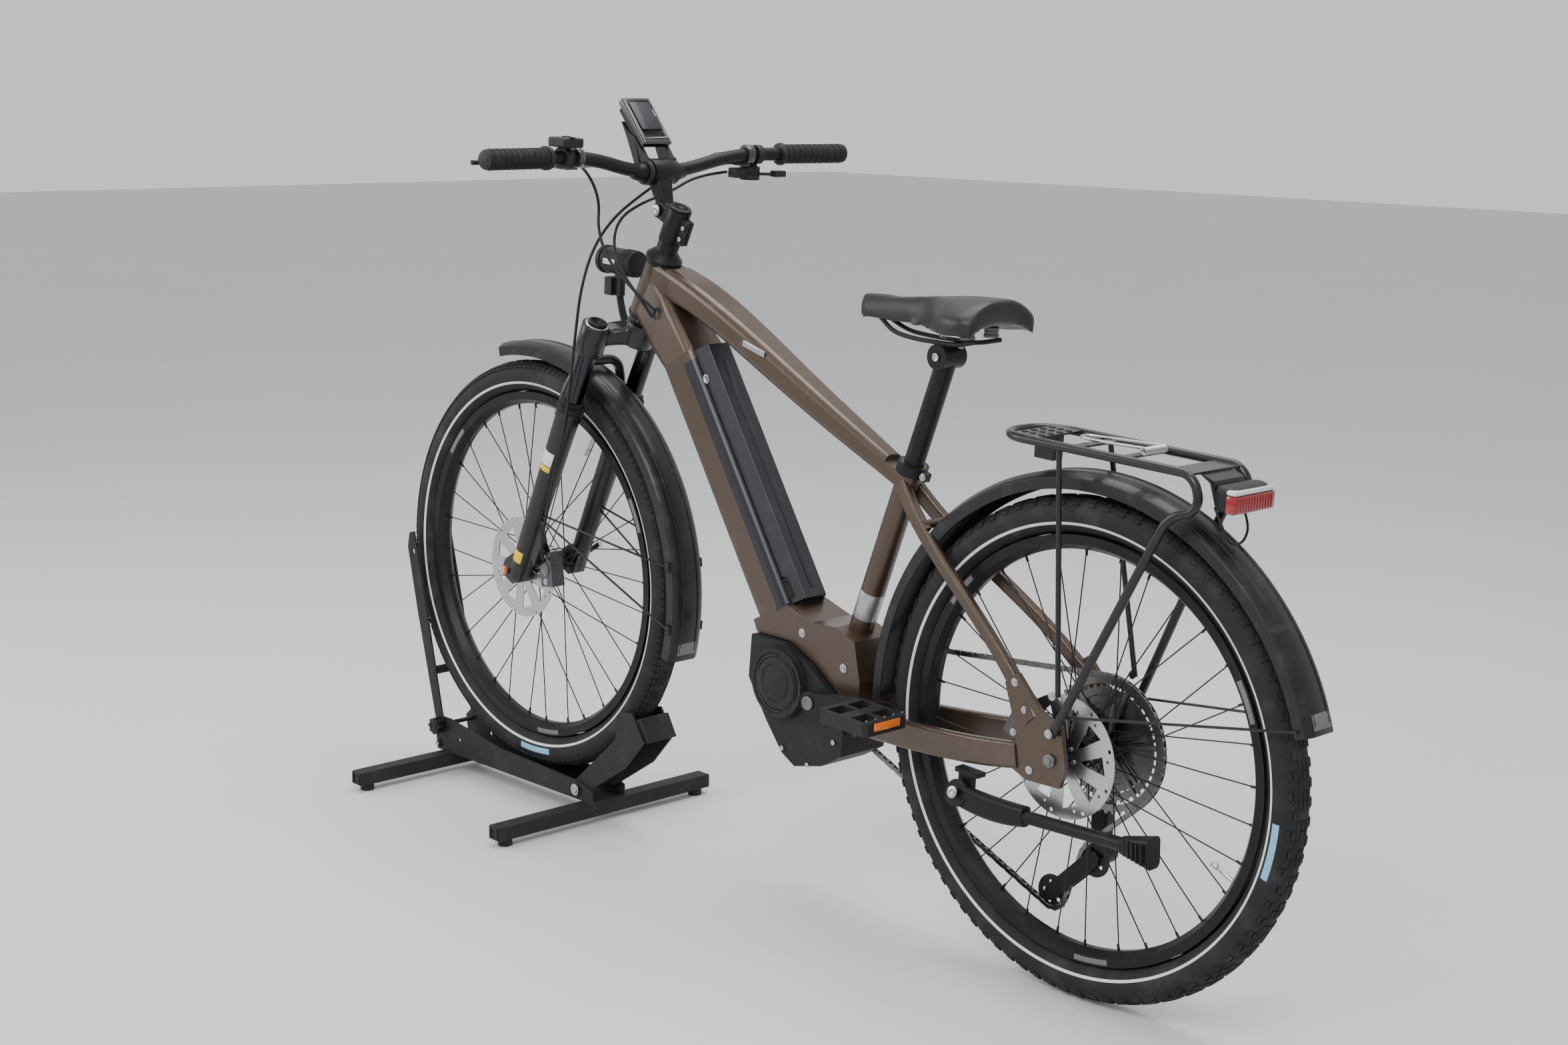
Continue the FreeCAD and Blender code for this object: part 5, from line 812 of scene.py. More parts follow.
class Drive:
    """The looks of the chain, cassette, chainring, cranks and pedals."""

    TEETH = (50, 42, 36, 32, 28, 24, 21, 18, 16, 14, 12, 11)

    def __init__(self, shop: Shop, sizes: ChainSizes) -> None:
        self.shop = shop
        self.sizes = sizes

    def loop(self) -> list[Vector]:
        """The chain's line in the bike's frame, as closely spaced points."""
        wheels = [self.sizes.ring, self.sizes.cog, self.sizes.guide, self.sizes.tension]
        runs = []
        for first, second in zip(wheels, wheels[1:] + wheels[:1]):
            span = math.hypot(second[0] - first[0], second[1] - first[1])
            base = math.atan2(second[1] - first[1], second[0] - first[0])
            angle = base - math.acos((first[3] * first[2] - second[3] * second[2]) / span)
            runs.append((angle, first, second))
        points = []
        for (angle, first, second), (leaving, _, _) in zip(runs, runs[1:] + runs[:1]):
            for wheel in (first, second):
                points.append(Vector((wheel[0] + wheel[3] * wheel[2] * math.cos(angle), 0,
                                      wheel[1] + wheel[3] * wheel[2] * math.sin(angle))))
            start = angle if second[3] > 0 else angle + math.pi
            end = leaving if second[3] > 0 else leaving + math.pi
            sweep = (end - start) % (2 * math.pi)
            if second[3] < 0:
                sweep -= 2 * math.pi
            for step in range(1, 24):
                bend = start + sweep * step / 24
                points.append(Vector((second[0] + second[2] * math.cos(bend), 0,
                                      second[1] + second[2] * math.sin(bend))))
        return points

    def chain(self) -> None:
        """Inner and outer links along the whole loop."""
        shop, sizes = self.shop, self.sizes
        points = self.loop()
        lengths = [0.0]
        for before, after in zip(points, points[1:] + points[:1]):
            lengths.append(lengths[-1] + (after - before).length)
        count = 2 * round(lengths[-1] / sizes.pitch / 2)
        patterns = []
        for half in (0.0022, 0.0032):
            parts = []
            for side in (half, -half):
                place = Matrix.Translation((0, side, 0))
                parts.append(shop.block("link_plate", (0.0192, 0.0009, 0.0072), place, 0.0))
            parts.append(shop.cylinder("link_roller", 0.0036, 2 * half, (-sizes.pitch / 2, 0, 0), SIDE, 8,
                                       0.0))
            patterns.append(shop.join("link", parts))
        spots: list[list[Matrix]] = [[], []]
        for number in range(count):
            ends = [self.along(points, lengths, (number + shift) * lengths[-1] / count)
                    for shift in (0.0, 1.0)]
            run = ends[1] - ends[0]
            place = Matrix.Translation((ends[0] + ends[1]) / 2 + Vector((0, -sizes.side, 0)))
            spots[number % 2].append(BIKE @ place @ Matrix.Rotation(-math.atan2(run.z, run.x), 4, "Y"))
        links = shop.copies(patterns[0], spots[0]) + shop.copies(patterns[1], spots[1])
        piece = shop.join("chain_links", links)
        shop.soften(piece, 0.0011, 1)
        shop.hand_in(piece, "chain", Body.FRAME, "chain_steel", "chain")

    def along(self, points: list[Vector], lengths: list[float], distance: float) -> Vector:
        """The point at a distance along the closed line."""
        distance %= lengths[-1]
        for index in range(len(points)):
            if distance <= lengths[index + 1]:
                share = (distance - lengths[index]) / max(lengths[index + 1] - lengths[index], 1e-9)
                return points[index].lerp(points[(index + 1) % len(points)], share)
        return points[0]

    def sprocket(self, name: str, centre: Vector, radius: float, teeth: int,
                 thick: float) -> bpy.types.Object:
        """A toothed disc: every second side of a many-sided disc is drawn out into a tooth."""
        piece = self.shop.cylinder(name, radius, thick, centre, SIDE, teeth * 2, 0.0)

        def tooth(face: bpy.types.MeshPolygon) -> bool:
            """True for every second side face."""
            spot = face.center - centre
            step = round((math.degrees(math.atan2(spot.z, spot.x)) % 360.0) / (180.0 / teeth) - 0.5)
            return len(face.vertices) == 4 and abs(face.normal.y) < 0.5 and step % 2 == 0

        self.shop.raise_faces(piece, tooth, min(0.0009, thick * 0.3), 0.0042)
        if radius > 0.045:
            self.hollow(piece, centre, radius, thick)
        return piece

    def hollow(self, piece: bpy.types.Object, centre: Vector, radius: float, thick: float) -> None:
        """Opens a disc to a ring and adds six arms to its middle."""
        shop = self.shop
        wide = 0.0105
        shop.pick(piece, lambda face: len(face.vertices) > 30)
        bpy.ops.mesh.inset(thickness=wide)
        bpy.ops.mesh.bridge_edge_loops()
        bpy.ops.object.mode_set(mode="OBJECT")
        arms = [piece]
        for number in range(6):
            angle = math.radians(60 * number) + radius * 9
            long = radius - wide - 0.017
            middle = centre + Vector((math.cos(angle), 0, math.sin(angle))) * (0.018 + long / 2)
            place = Matrix.Translation(middle) @ Matrix.Rotation(-angle, 4, "Y")
            arms.append(shop.block("cog_arm", (long + 0.003, thick * 0.8, 0.0065), place, 0.0003))
        shop.join(piece.name, arms)

    def cassette(self) -> None:
        """Twelve toothed cogs."""
        cogs = []
        for number, teeth in enumerate(self.TEETH):
            radius = 0.1011 * teeth / self.TEETH[0] - 0.002
            centre = BIKE @ Vector((0, -self.sizes.side - 0.00235 * number, 0))
            cogs.append(self.sprocket(f"cog_{teeth}", centre, radius, teeth, 0.0016))
        piece = self.shop.join("cassette_cogs", cogs)
        self.shop.hand_in(piece, "chain", Body.CASSETTE, "chain_steel", "cassette")

    def chainring_details(self) -> None:
        """Ring bolts and the crank's end caps."""
        shop = self.shop
        centre = BRACKET.to_translation()
        bolts = []
        for number in range(8):
            angle = math.radians(45 * number + 22.5) + PITCH
            spot = centre + Vector((0.052 * math.cos(angle), -0.0462, 0.052 * math.sin(angle)))
            bolts.append(shop.bolt("ring_bolt", spot, -SIDE, 0.0042, 0.002))
        shop.hand_in(shop.join("chainring_bolts", bolts), "steel", Body.CRANKS, "chain_steel")
        for side, name in ((1, "left"), (-1, "right")):
            cap = shop.bolt(f"crank_cap_{name}", centre + SIDE * side * 0.0850, SIDE * side, 0.011, 0.0035)
            shop.hand_in(cap, "grey", Body.CRANKS, "black_anodised")

    def pedals(self) -> None:
        """Amber reflectors and grip pins of both pedals."""
        shop = self.shop
        spots = {Body.PEDAL_LEFT: ("left", Vector((-0.30731, 0.139, 0.37636))),
                 Body.PEDAL_RIGHT: ("right", Vector((0.03361, -0.139, 0.33043)))}
        for body, (name, centre) in spots.items():
            plates, pins = [], []
            for way in (1, -1):
                place = Matrix.Translation(centre + Vector((way * 0.0492, 0, 0)))
                plates.append(shop.block("reflector", (0.003, 0.054, 0.012), place, 0.0008))
                for step in range(-2, 3):
                    for up in (1, -1):
                        spot = centre + Vector((way * 0.044, step * 0.019, up * 0.0106))
                        pins.append(shop.cylinder("pedal_pin", 0.0016, 0.0028, spot, UP, 8, 0.0003))
            shop.hand_in(shop.join(f"pedal_reflectors_{name}", plates), "amber", body, "black_plastic")
            shop.hand_in(shop.join(f"pedal_pins_{name}", pins), "grey", body, "black_plastic")

    def build(self) -> None:
        """Builds the drive's pieces."""
        self.chain()
        self.cassette()
        self.chainring_details()
        self.pedals()


# ---------------------------------------------------------------- front end


class FrontEnd:
    """The looks of the fork, axle, calipers and headlamp."""

    def __init__(self, shop: Shop) -> None:
        self.shop = shop
        self.way = FORK.to_3x3() @ UP

    def at(self, forward: float, side: float, high: float) -> Vector:
        """A point given in the fork's frame."""
        return FORK @ Vector((forward, side, high))

    def seals(self) -> None:
        """Dust seals on the lower legs and the cap rings on the crown."""
        shop = self.shop
        seals, rings = [], []
        for side in (0.066, -0.066):
            seals.append(shop.cylinder("leg_seal", 0.0245, 0.010, self.at(0.036, side, 0.3505), self.way,
                                       48, 0.002))
            seals.append(shop.cylinder("leg_lip", 0.0205, 0.010, self.at(0.036, side, 0.3590), self.way, 48,
                                       0.002))
            rings.append(shop.cylinder("crown_ring", 0.0205, 0.0022, self.at(0.036, side, 0.5130), self.way,
                                       48, 0.0008))
            knob = shop.cylinder("crown_cap", 0.0165, 0.007, self.at(0.036, side, 0.5160), self.way, 24,
                                 0.0015)
            shop.raise_faces(knob, shop.cap_faces(self.way), 0.004, -0.002, False)
            shop.hand_in(knob, "anodised", Body.UPPER, "fork_black")
        shop.hand_in(shop.join("fork_leg_seals", seals), "rubber", Body.SLIDER, "fork_black")
        shop.hand_in(shop.join("crown_rings", rings), "steel", Body.UPPER, "fork_black")

    def stickers(self) -> None:
        """Blank patches on the left lower leg."""
        shop = self.shop
        for name, finish, low, high in (("white", "white", 0.236, 0.262), ("yellow", "yellow", 0.224, 0.234),
                                        ("foot", "yellow", 0.030, 0.052)):
            middle = (low + high) / 2
            radius = 0.016 + 0.006 * (middle + 0.005) / 0.35
            strips = []
            for step in range(-4, 5):
                bend = math.radians(90 + step * 9)
                out = Vector((math.cos(bend), math.sin(bend), 0))
                spot = Vector((0.036, 0.066, middle)) + out * (radius + 0.0001)
                turn = Matrix.Rotation(bend, 4, "Z")
                place = FORK @ Matrix.Translation(spot) @ turn
                strips.append(shop.block("strip", (0.0004, radius * 0.165, high - low), place, 0.0001))
            shop.hand_in(shop.join(f"leg_patch_{name}", strips), finish, Body.SLIDER, "fork_black")

    def axle_ends(self) -> None:
        """Orange mark and socket cap at the left end of the axle."""
        shop = self.shop
        mark = shop.cylinder("axle_mark", 0.0082, 0.003, self.at(0.052, 0.0865, 0), SIDE, 32, 0.0008)
        shop.hand_in(mark, "orange", Body.SLIDER, "bright_metal")
        cap = shop.bolt("axle_cap", self.at(0.052, 0.088, 0), SIDE, 0.0060, 0.002)
        shop.hand_in(cap, "steel", Body.SLIDER, "bright_metal")

    def caliper(self, end: str, centre: Vector, way: float, body: Body) -> None:
        """Bolts, pad pin and coloured mark of one caliper.

        Args:
            end: front or rear.
            centre: the middle of the caliper.
            way: the angle of its long side above forward.
            body: the body it rides on.
        """
        shop = self.shop
        run = Vector((math.cos(way), 0, math.sin(way)))
        bolts = [shop.bolt("caliper_bolt", centre + run * shift + SIDE * 0.0142, SIDE, 0.0040, 0.003, True)
                 for shift in (0.022, -0.022)]
        shop.hand_in(shop.join(f"{end}_caliper_bolts", bolts), "steel", body, "caliper_grey")
        ring = shop.cylinder(f"{end}_caliper_piston", 0.0105, 0.0022, centre + SIDE * 0.0152, SIDE, 36,
                             0.0008)
        shop.raise_faces(ring, shop.cap_faces(SIDE), 0.002, -0.0012, False)
        shop.hand_in(ring, "grey", body, "caliper_grey")
        mark = shop.cylinder(f"{end}_caliper_mark", 0.0032, 0.0016, centre + run * 0.010 + SIDE * 0.0146,
                             SIDE, 18, 0.0005)
        shop.hand_in(mark, "orange", body, "caliper_grey")

    def lamp(self) -> None:
        """Lens, lens ring and side window of the headlamp."""
        shop = self.shop
        middle = self.at(0.093, 0, 0.598)
        ahead = (BIKE.to_3x3() @ Vector((1, 0, 0))).normalized()
        lens = shop.cylinder("lamp_lens", 0.0205, 0.003, middle + ahead * 0.0425, ahead, 48, 0.001)
        shop.raise_faces(lens, shop.cap_faces(ahead), 0.004, 0.0014, False)
        shop.hand_in(lens, "clear", Body.UPPER, "black_plastic")
        window = shop.block("lamp_window", (0.030, 0.0012, 0.009),
                            Matrix.Translation(middle + SIDE * 0.0222 + ahead * 0.008)
                            @ BIKE.to_3x3().to_4x4(), 0.0004)
        shop.hand_in(window, "clear", Body.UPPER, "black_plastic")
        fins = [shop.cylinder("lamp_fin", 0.0231, 0.0022, middle - ahead * (0.034 - 0.006 * step), ahead,
                              48, 0.0007)
                for step in range(4)]
        shop.hand_in(shop.join("lamp_fins", fins), "plastic", Body.UPPER, "black_plastic")

    def build(self) -> None:
        """Builds the front end's pieces."""
        self.seals()
        self.stickers()
        self.axle_ends()
        self.caliper("front", Vector((0.5545, 0.0440, 0.4470)), math.radians(237) + FORK_LEAN, Body.SLIDER)
        self.caliper("rear", Vector((-0.5467, 0.0520, 0.4098)), math.radians(116) + PITCH, Body.FRAME)
        self.lamp()


# ---------------------------------------------------------------- cockpit


class Cockpit:
    """The looks of the stem, handlebar, grips, display, remote and levers."""

    def __init__(self, shop: Shop) -> None:
        self.shop = shop

    def at(self, forward: float, side: float, high: float) -> Vector:
        """A point given in the handlebar's frame."""
        return BAR @ Vector((forward, side, high))

    def grips(self) -> None:
        """Ribbed grips with end plugs and inner clamp rings."""
        shop = self.shop
        pieces, rings = [], []
        for side in (1, -1):
            start, end = Vector((0.2977, side * 0.249, 1.1740)), Vector((0.2783, side * 0.3826, 1.1741))
            way = (end - start).normalized()
            length = (end - start).length
            sleeve = shop.cylinder("grip", 0.0158, length, (start + end) / 2, way, 36, 0.0)
            self.rib(sleeve, start, way, length)
            pieces.append(sleeve)
            rings.append(shop.cylinder("grip_ring", 0.0190, 0.0085, start + way * 0.0042, way, 36, 0.0014))
            plug = shop.cylinder("grip_plug", 0.0150, 0.004, end + way * 0.0012, way, 32, 0.0014)
            rings.append(plug)
        grips = shop.join("grips_ribbed", pieces)
        shop.hand_in(grips, "rubber", Body.COCKPIT, "rubber_black", "grips")
        shop.hand_in(shop.join("grip_rings", rings), "plastic", Body.COCKPIT, "rubber_black")

    def rib(self, sleeve: bpy.types.Object, start: Vector, way: Vector, length: float) -> None:
        """Divides a sleeve along its length and raises every second ring of faces."""
        shop = self.shop
        bands = 22
        shop.focus(sleeve)
        for number in range(1, bands):
            shop.pick(sleeve, lambda face: True)
            bpy.ops.mesh.bisect(plane_co=start + way * length * number / bands, plane_no=way)
            bpy.ops.object.mode_set(mode="OBJECT")

        def ribbed(face: bpy.types.MeshPolygon) -> bool:
            """True for the side faces of every second ring."""
            along = (face.center - start).dot(way) / length * bands
            return len(face.vertices) == 4 and int(along) % 2 == 0 and 0 < int(along) < bands - 1

        shop.raise_faces(sleeve, ribbed, 0.0, 0.0008)
        shop.focus(sleeve)
        bpy.ops.object.shade_smooth_by_angle(angle=0.9)

    def stem(self) -> None:
        """Faceplate bolts, pinch bolts, pivot bolt and steerer cap."""
        shop = self.shop
        bolts = []
        for side in (0.0155, -0.0155):
            for high in (0.0150, -0.0150):
                bolts.append(shop.bolt("face_bolt", self.at(0.0175, side, high),
                                       BAR.to_3x3() @ Vector((1, 0, 0)),
                                       0.0038, 0.004))
        pivot = FORK @ Vector((0.030, 0, 0.731))
        for side in (1, -1):
            bolts.append(shop.bolt("pivot_bolt", pivot + SIDE * side * 0.0230, SIDE * side, 0.0062, 0.0025,
                                   True))
        for high in (0.708, 0.728):
            bolts.append(shop.bolt("pinch_bolt", FORK @ Vector((-0.028, 0.0072, high)), SIDE, 0.0036, 0.003))
        shop.hand_in(shop.join("stem_bolts", bolts), "steel", Body.COCKPIT, "black_anodised")
        up = FORK.to_3x3() @ UP
        top = shop.cylinder("steerer_cap", 0.0180, 0.004, FORK @ Vector((0, 0, 0.7500)), up, 40, 0.0012)
        shop.raise_faces(top, shop.cap_faces(up), 0.006, -0.0015, False)
        shop.hand_in(top, "anodised", Body.UPPER, "black_anodised")

    def display(self) -> None:
        """Glossy screen, its frame and the bolts of its mount."""
        shop = self.shop
        slope = BAR @ Matrix.Translation((0.038, 0, 0.078)) @ Matrix.Rotation(math.radians(-47), 4, "Y")
        glass = shop.block("display_glass", (0.082, 0.053, 0.0016),
                           slope @ Matrix.Translation((0.002, 0, 0.0062)), 0.0006)
        shop.raise_faces(glass, lambda face: face.normal.dot(slope.to_3x3() @ UP) > 0.95, 0.0022, -0.0004,
                         False)
        shop.hand_in(glass, "screen", Body.COCKPIT, "screen_gloss")
        panel = shop.block("display_panel", (0.056, 0.042, 0.0006),
                           slope @ Matrix.Translation((0.008, 0, 0.0070)), 0.0002)
        shop.hand_in(panel, "battery", Body.COCKPIT, "screen_gloss")
        back = shop.block("display_back", (0.060, 0.044, 0.004),
                          slope @ Matrix.Translation((0, 0, -0.0086)), 0.0012)
        shop.hand_in(back, "plastic", Body.COCKPIT, "screen_gloss")
        bolts = [shop.bolt("mount_bolt", self.at(0.014, side * 0.0322, -0.004), SIDE * side, 0.0036, 0.003)
                 for side in (1, -1)]
        shop.hand_in(shop.join("display_mount_bolts", bolts), "steel", Body.COCKPIT, "black_plastic")

    def remote(self) -> None:
        """Ring and keys of the left control pod."""
        shop = self.shop
        top = Vector((0.30294, 0.214, 1.17391)) + BAR.to_3x3() @ Vector((-0.004, -0.002, 0.0322))
        up = BAR.to_3x3() @ UP
        ring = shop.cylinder("remote_ring", 0.0112, 0.0014, top, up, 40, 0.0004)
        shop.raise_faces(ring, shop.cap_faces(up), 0.0028, -0.0009, False)
        shop.hand_in(ring, "grey", Body.COCKPIT, "black_plastic")
        keys = [shop.block("remote_key", (0.008, 0.009, 0.0016),
                           Matrix.Translation(top + Vector((0.017 * way, 0.002, 0)))
                           @ BAR.to_3x3().to_4x4(), 0.0006) for way in (-1, 1)]
        shop.hand_in(shop.join("remote_keys", keys), "plastic", Body.COCKPIT, "black_plastic")

    def levers(self) -> None:
        """Reservoir lids, clamp bolts and pivot caps of both brakes."""
        shop = self.shop
        bolts, lids = [], []
        up = BAR.to_3x3() @ UP
        for side in (1, -1):
            pivot = Vector((0.33761, side * 0.186, 1.16547))
            lid = shop.block("reservoir_lid", (0.015, 0.034, 0.003), Matrix.Translation(
                pivot + Vector((-0.004, -side * 0.030, 0)) + up * 0.0098) @ BAR.to_3x3().to_4x4(), 0.0012)
            lids.append(lid)
            for step in (-0.013, 0.013):
                bolts.append(shop.bolt("lid_bolt",
                                       pivot + Vector((-0.004, -side * 0.030 + step, 0)) + up * 0.0112, up,
                                       0.0019, 0.0012))
            bolts.append(shop.bolt("pivot_cap", pivot + Vector((0.006, side * 0.006, 0)) + up * 0.0108, up,
                                   0.0036, 0.002))
            bolts.append(shop.bolt("clamp_bolt", Vector((0.3205, side * 0.186, 1.1740)), Vector((1, 0, 0)),
                                   0.0034, 0.003))
        shop.hand_in(shop.join("reservoir_lids", lids), "caliper", Body.COCKPIT, "caliper_grey")
        shop.hand_in(shop.join("brake_bolts", bolts), "steel", Body.COCKPIT, "caliper_grey")

    def build(self) -> None:
        """Builds the cockpit's pieces."""
        self.grips()
        self.stem()
        self.display()
        self.remote()
        self.levers()


# ---------------------------------------------------------------- frame and motor


class FrameDetails:
    """The looks of the frame's fittings, the battery and the drive unit."""

    def __init__(self, shop: Shop) -> None:
        self.shop = shop

    def motor(self) -> None:
        """Round side cover with stepped recesses, a rim ring and the casing bolts."""
        shop = self.shop
        centre = Vector((-0.04829, 0.0660, 0.36409))
        cover = shop.cylinder("motor_cover", 0.0560, 0.004, centre + SIDE * 0.002, SIDE, 96, 0.0)
        test = shop.cap_faces(SIDE)
        shop.raise_faces(cover, test, 0.0060, -0.0016, False)
        shop.raise_faces(cover, test, 0.0080, 0.0016, False)
        shop.raise_faces(cover, test, 0.0100, -0.0012, False)
        shop.raise_faces(cover, test, 0.0060, 0.0008, False)
        shop.soften(cover, 0.0005)
        shop.hand_in(cover, "motor", Body.FRAME, "motor_black")
        arcs = []
        for start in (0.3, 2.4, 4.5):
            points = [centre + Vector((0.045 * math.cos(start + step * 0.16), 0.0036,
                                       0.045 * math.sin(start + step * 0.16)))
                      for step in range(9)]
            arcs.append(shop.cord("motor_arc", points, 0.0009))
        shop.hand_in(shop.join("motor_arcs", arcs), "battery", Body.FRAME, "motor_black")
        bolts = []
        for spot in ((-0.034, -0.060), (0.020, -0.112), (0.078, -0.100), (0.150, -0.002), (-0.020, 0.004)):
            place = BRACKET @ Vector((spot[0], 0.0582, spot[1]))
            bolts.append(shop.bolt("motor_bolt", place, SIDE, 0.0042, 0.0026))
        shop.hand_in(shop.join("motor_bolts", bolts), "steel", Body.FRAME, "motor_black")
        shell = []
        for spot in ((-0.034, 0.058), (-0.052, -0.006), (0.060, 0.092)):
            place = BRACKET @ Vector((spot[0], 0.0462, spot[1]))
            shell.append(shop.bolt("bracket_bolt", place, SIDE, 0.0050, 0.003, True))
        shop.hand_in(shop.join("bracket_bolts", shell), "steel", Body.FRAME, "motor_black")

    def battery(self) -> None:
        """Charging port cover, lock and raised edge of the battery's cover."""
        shop = self.shop
        slope = Matrix.Translation((-0.01336, 0, 0.46106)) @ Matrix.Rotation(-math.atan2(0.848, 0.530), 4,
                                                                             "Y")
        port = shop.block("battery_port", (0.034, 0.0022, 0.012),
                          slope @ Matrix.Translation((0.030, 0.0333, 0.0455)), 0.0012)
        shop.raise_faces(port, lambda face: face.normal.y > 0.95, 0.0022, -0.0008, False)
        shop.hand_in(port, "rubber", Body.FRAME, "battery_dark")
        lock = shop.cylinder("battery_lock", 0.0075, 0.003, slope @ Vector((0.400, 0.0334, 0.0430)), SIDE,
                             32, 0.0008)
        shop.raise_faces(lock, shop.cap_faces(SIDE), 0.0022, -0.001, False)
        shop.hand_in(lock, "steel", Body.FRAME, "battery_dark")
        ridge = shop.block("battery_ridge", (0.400, 0.010, 0.0016),
                           slope @ Matrix.Translation((0.220, 0, 0.0649)), 0.0007)
        shop.hand_in(ridge, "battery", Body.FRAME, "battery_dark")

    def badges(self) -> None:
        """Cable port, blank badge and label, bottle bosses and headset cups."""
        shop = self.shop
        head = (BIKE.inverted() @ Vector((0.31642, 0, 0.97526)))
        tube = (BIKE.inverted() @ Vector((0.195, 0, 0.9417)))
        slope = Matrix.Rotation(-math.atan2(head.z - tube.z, head.x - tube.x), 4, "Y")
        port = shop.cylinder("cable_port", 0.0115, 0.006, FORK @ Vector((-0.058, 0.0315, 0.586)), SIDE, 32,
                             0.0016)
        shop.raise_faces(port, shop.cap_faces(SIDE), 0.0032, -0.0016, False)
        shop.hand_in(port, "plastic", Body.FRAME, "frame_paint")
        badge = shop.block("tube_badge", (0.052, 0.0006, 0.010),
                           BIKE @ Matrix.Translation((0.700, 0.0298, 0.476)) @ slope, 0.0002)
        shop.hand_in(badge, "badge", Body.FRAME, "frame_paint")
        up = SEAT_TUBE.to_3x3() @ UP
        rings = [shop.cylinder("seat_label", 0.01985, 0.046, SEAT_TUBE @ Vector((0, 0, 0.075)), up, 48,
                               0.0002)]
        shop.hand_in(shop.join("seat_tube_label", rings), "badge", Body.FRAME, "frame_paint")
        bosses = [shop.bolt("boss", SEAT_TUBE @ Vector((0.0193, 0, high)),
                            SEAT_TUBE.to_3x3() @ Vector((1, 0, 0)),
                            0.0045, 0.004, True) for high in (0.130, 0.194)]
        shop.hand_in(shop.join("bottle_bosses", bosses), "steel", Body.FRAME, "frame_paint")
        cups = [shop.cylinder("headset_cup", 0.0296, 0.007, FORK @ Vector((0, 0, high)), FORK.to_3x3() @ UP,
                              56, 0.002)
                for high in (0.5495, 0.6505)]
        shop.hand_in(shop.join("headset_cups", cups), "anodised", Body.FRAME, "black_anodised")

    def dropouts(self) -> None:
        """Axle ends and the bolts of both dropouts."""
        shop = self.shop
        nuts, bolts = [], []
        for side in (1, -1):
            nut = shop.cylinder("axle_nut", 0.0105, 0.005, REAR_AXLE + SIDE * side * 0.0850, SIDE * side, 6,
                                0.001)
            nuts.append(nut)
            nuts.append(shop.cylinder("axle_end", 0.0060, 0.004, REAR_AXLE + SIDE * side * 0.0885,
                                      SIDE * side, 24, 0.001))
            for spot in ((0.052, 0.060), (0.036, -0.024), (0.074, 0.096)):
                bolts.append(shop.bolt("dropout_bolt", BIKE @ Vector((spot[0], side * 0.0826, spot[1])),
                                       SIDE * side,
                                       0.0042, 0.0026, True))
        shop.hand_in(shop.join("rear_axle_nuts", nuts), "grey", Body.FRAME, "black_anodised")
        shop.hand_in(shop.join("dropout_bolts", bolts), "steel", Body.FRAME, "black_anodised")

    def build(self) -> None:
        """Builds the frame's fittings."""
        self.motor()
        self.battery()
        self.badges()
        self.dropouts()


# ---------------------------------------------------------------- seat


@dataclass
class SaddleSizes:
    """Width of the saddle and the top of its post, in metres."""

    width: float = 0.156
    top: Vector = Vector((-0.32848, 0.0, 0.89918))


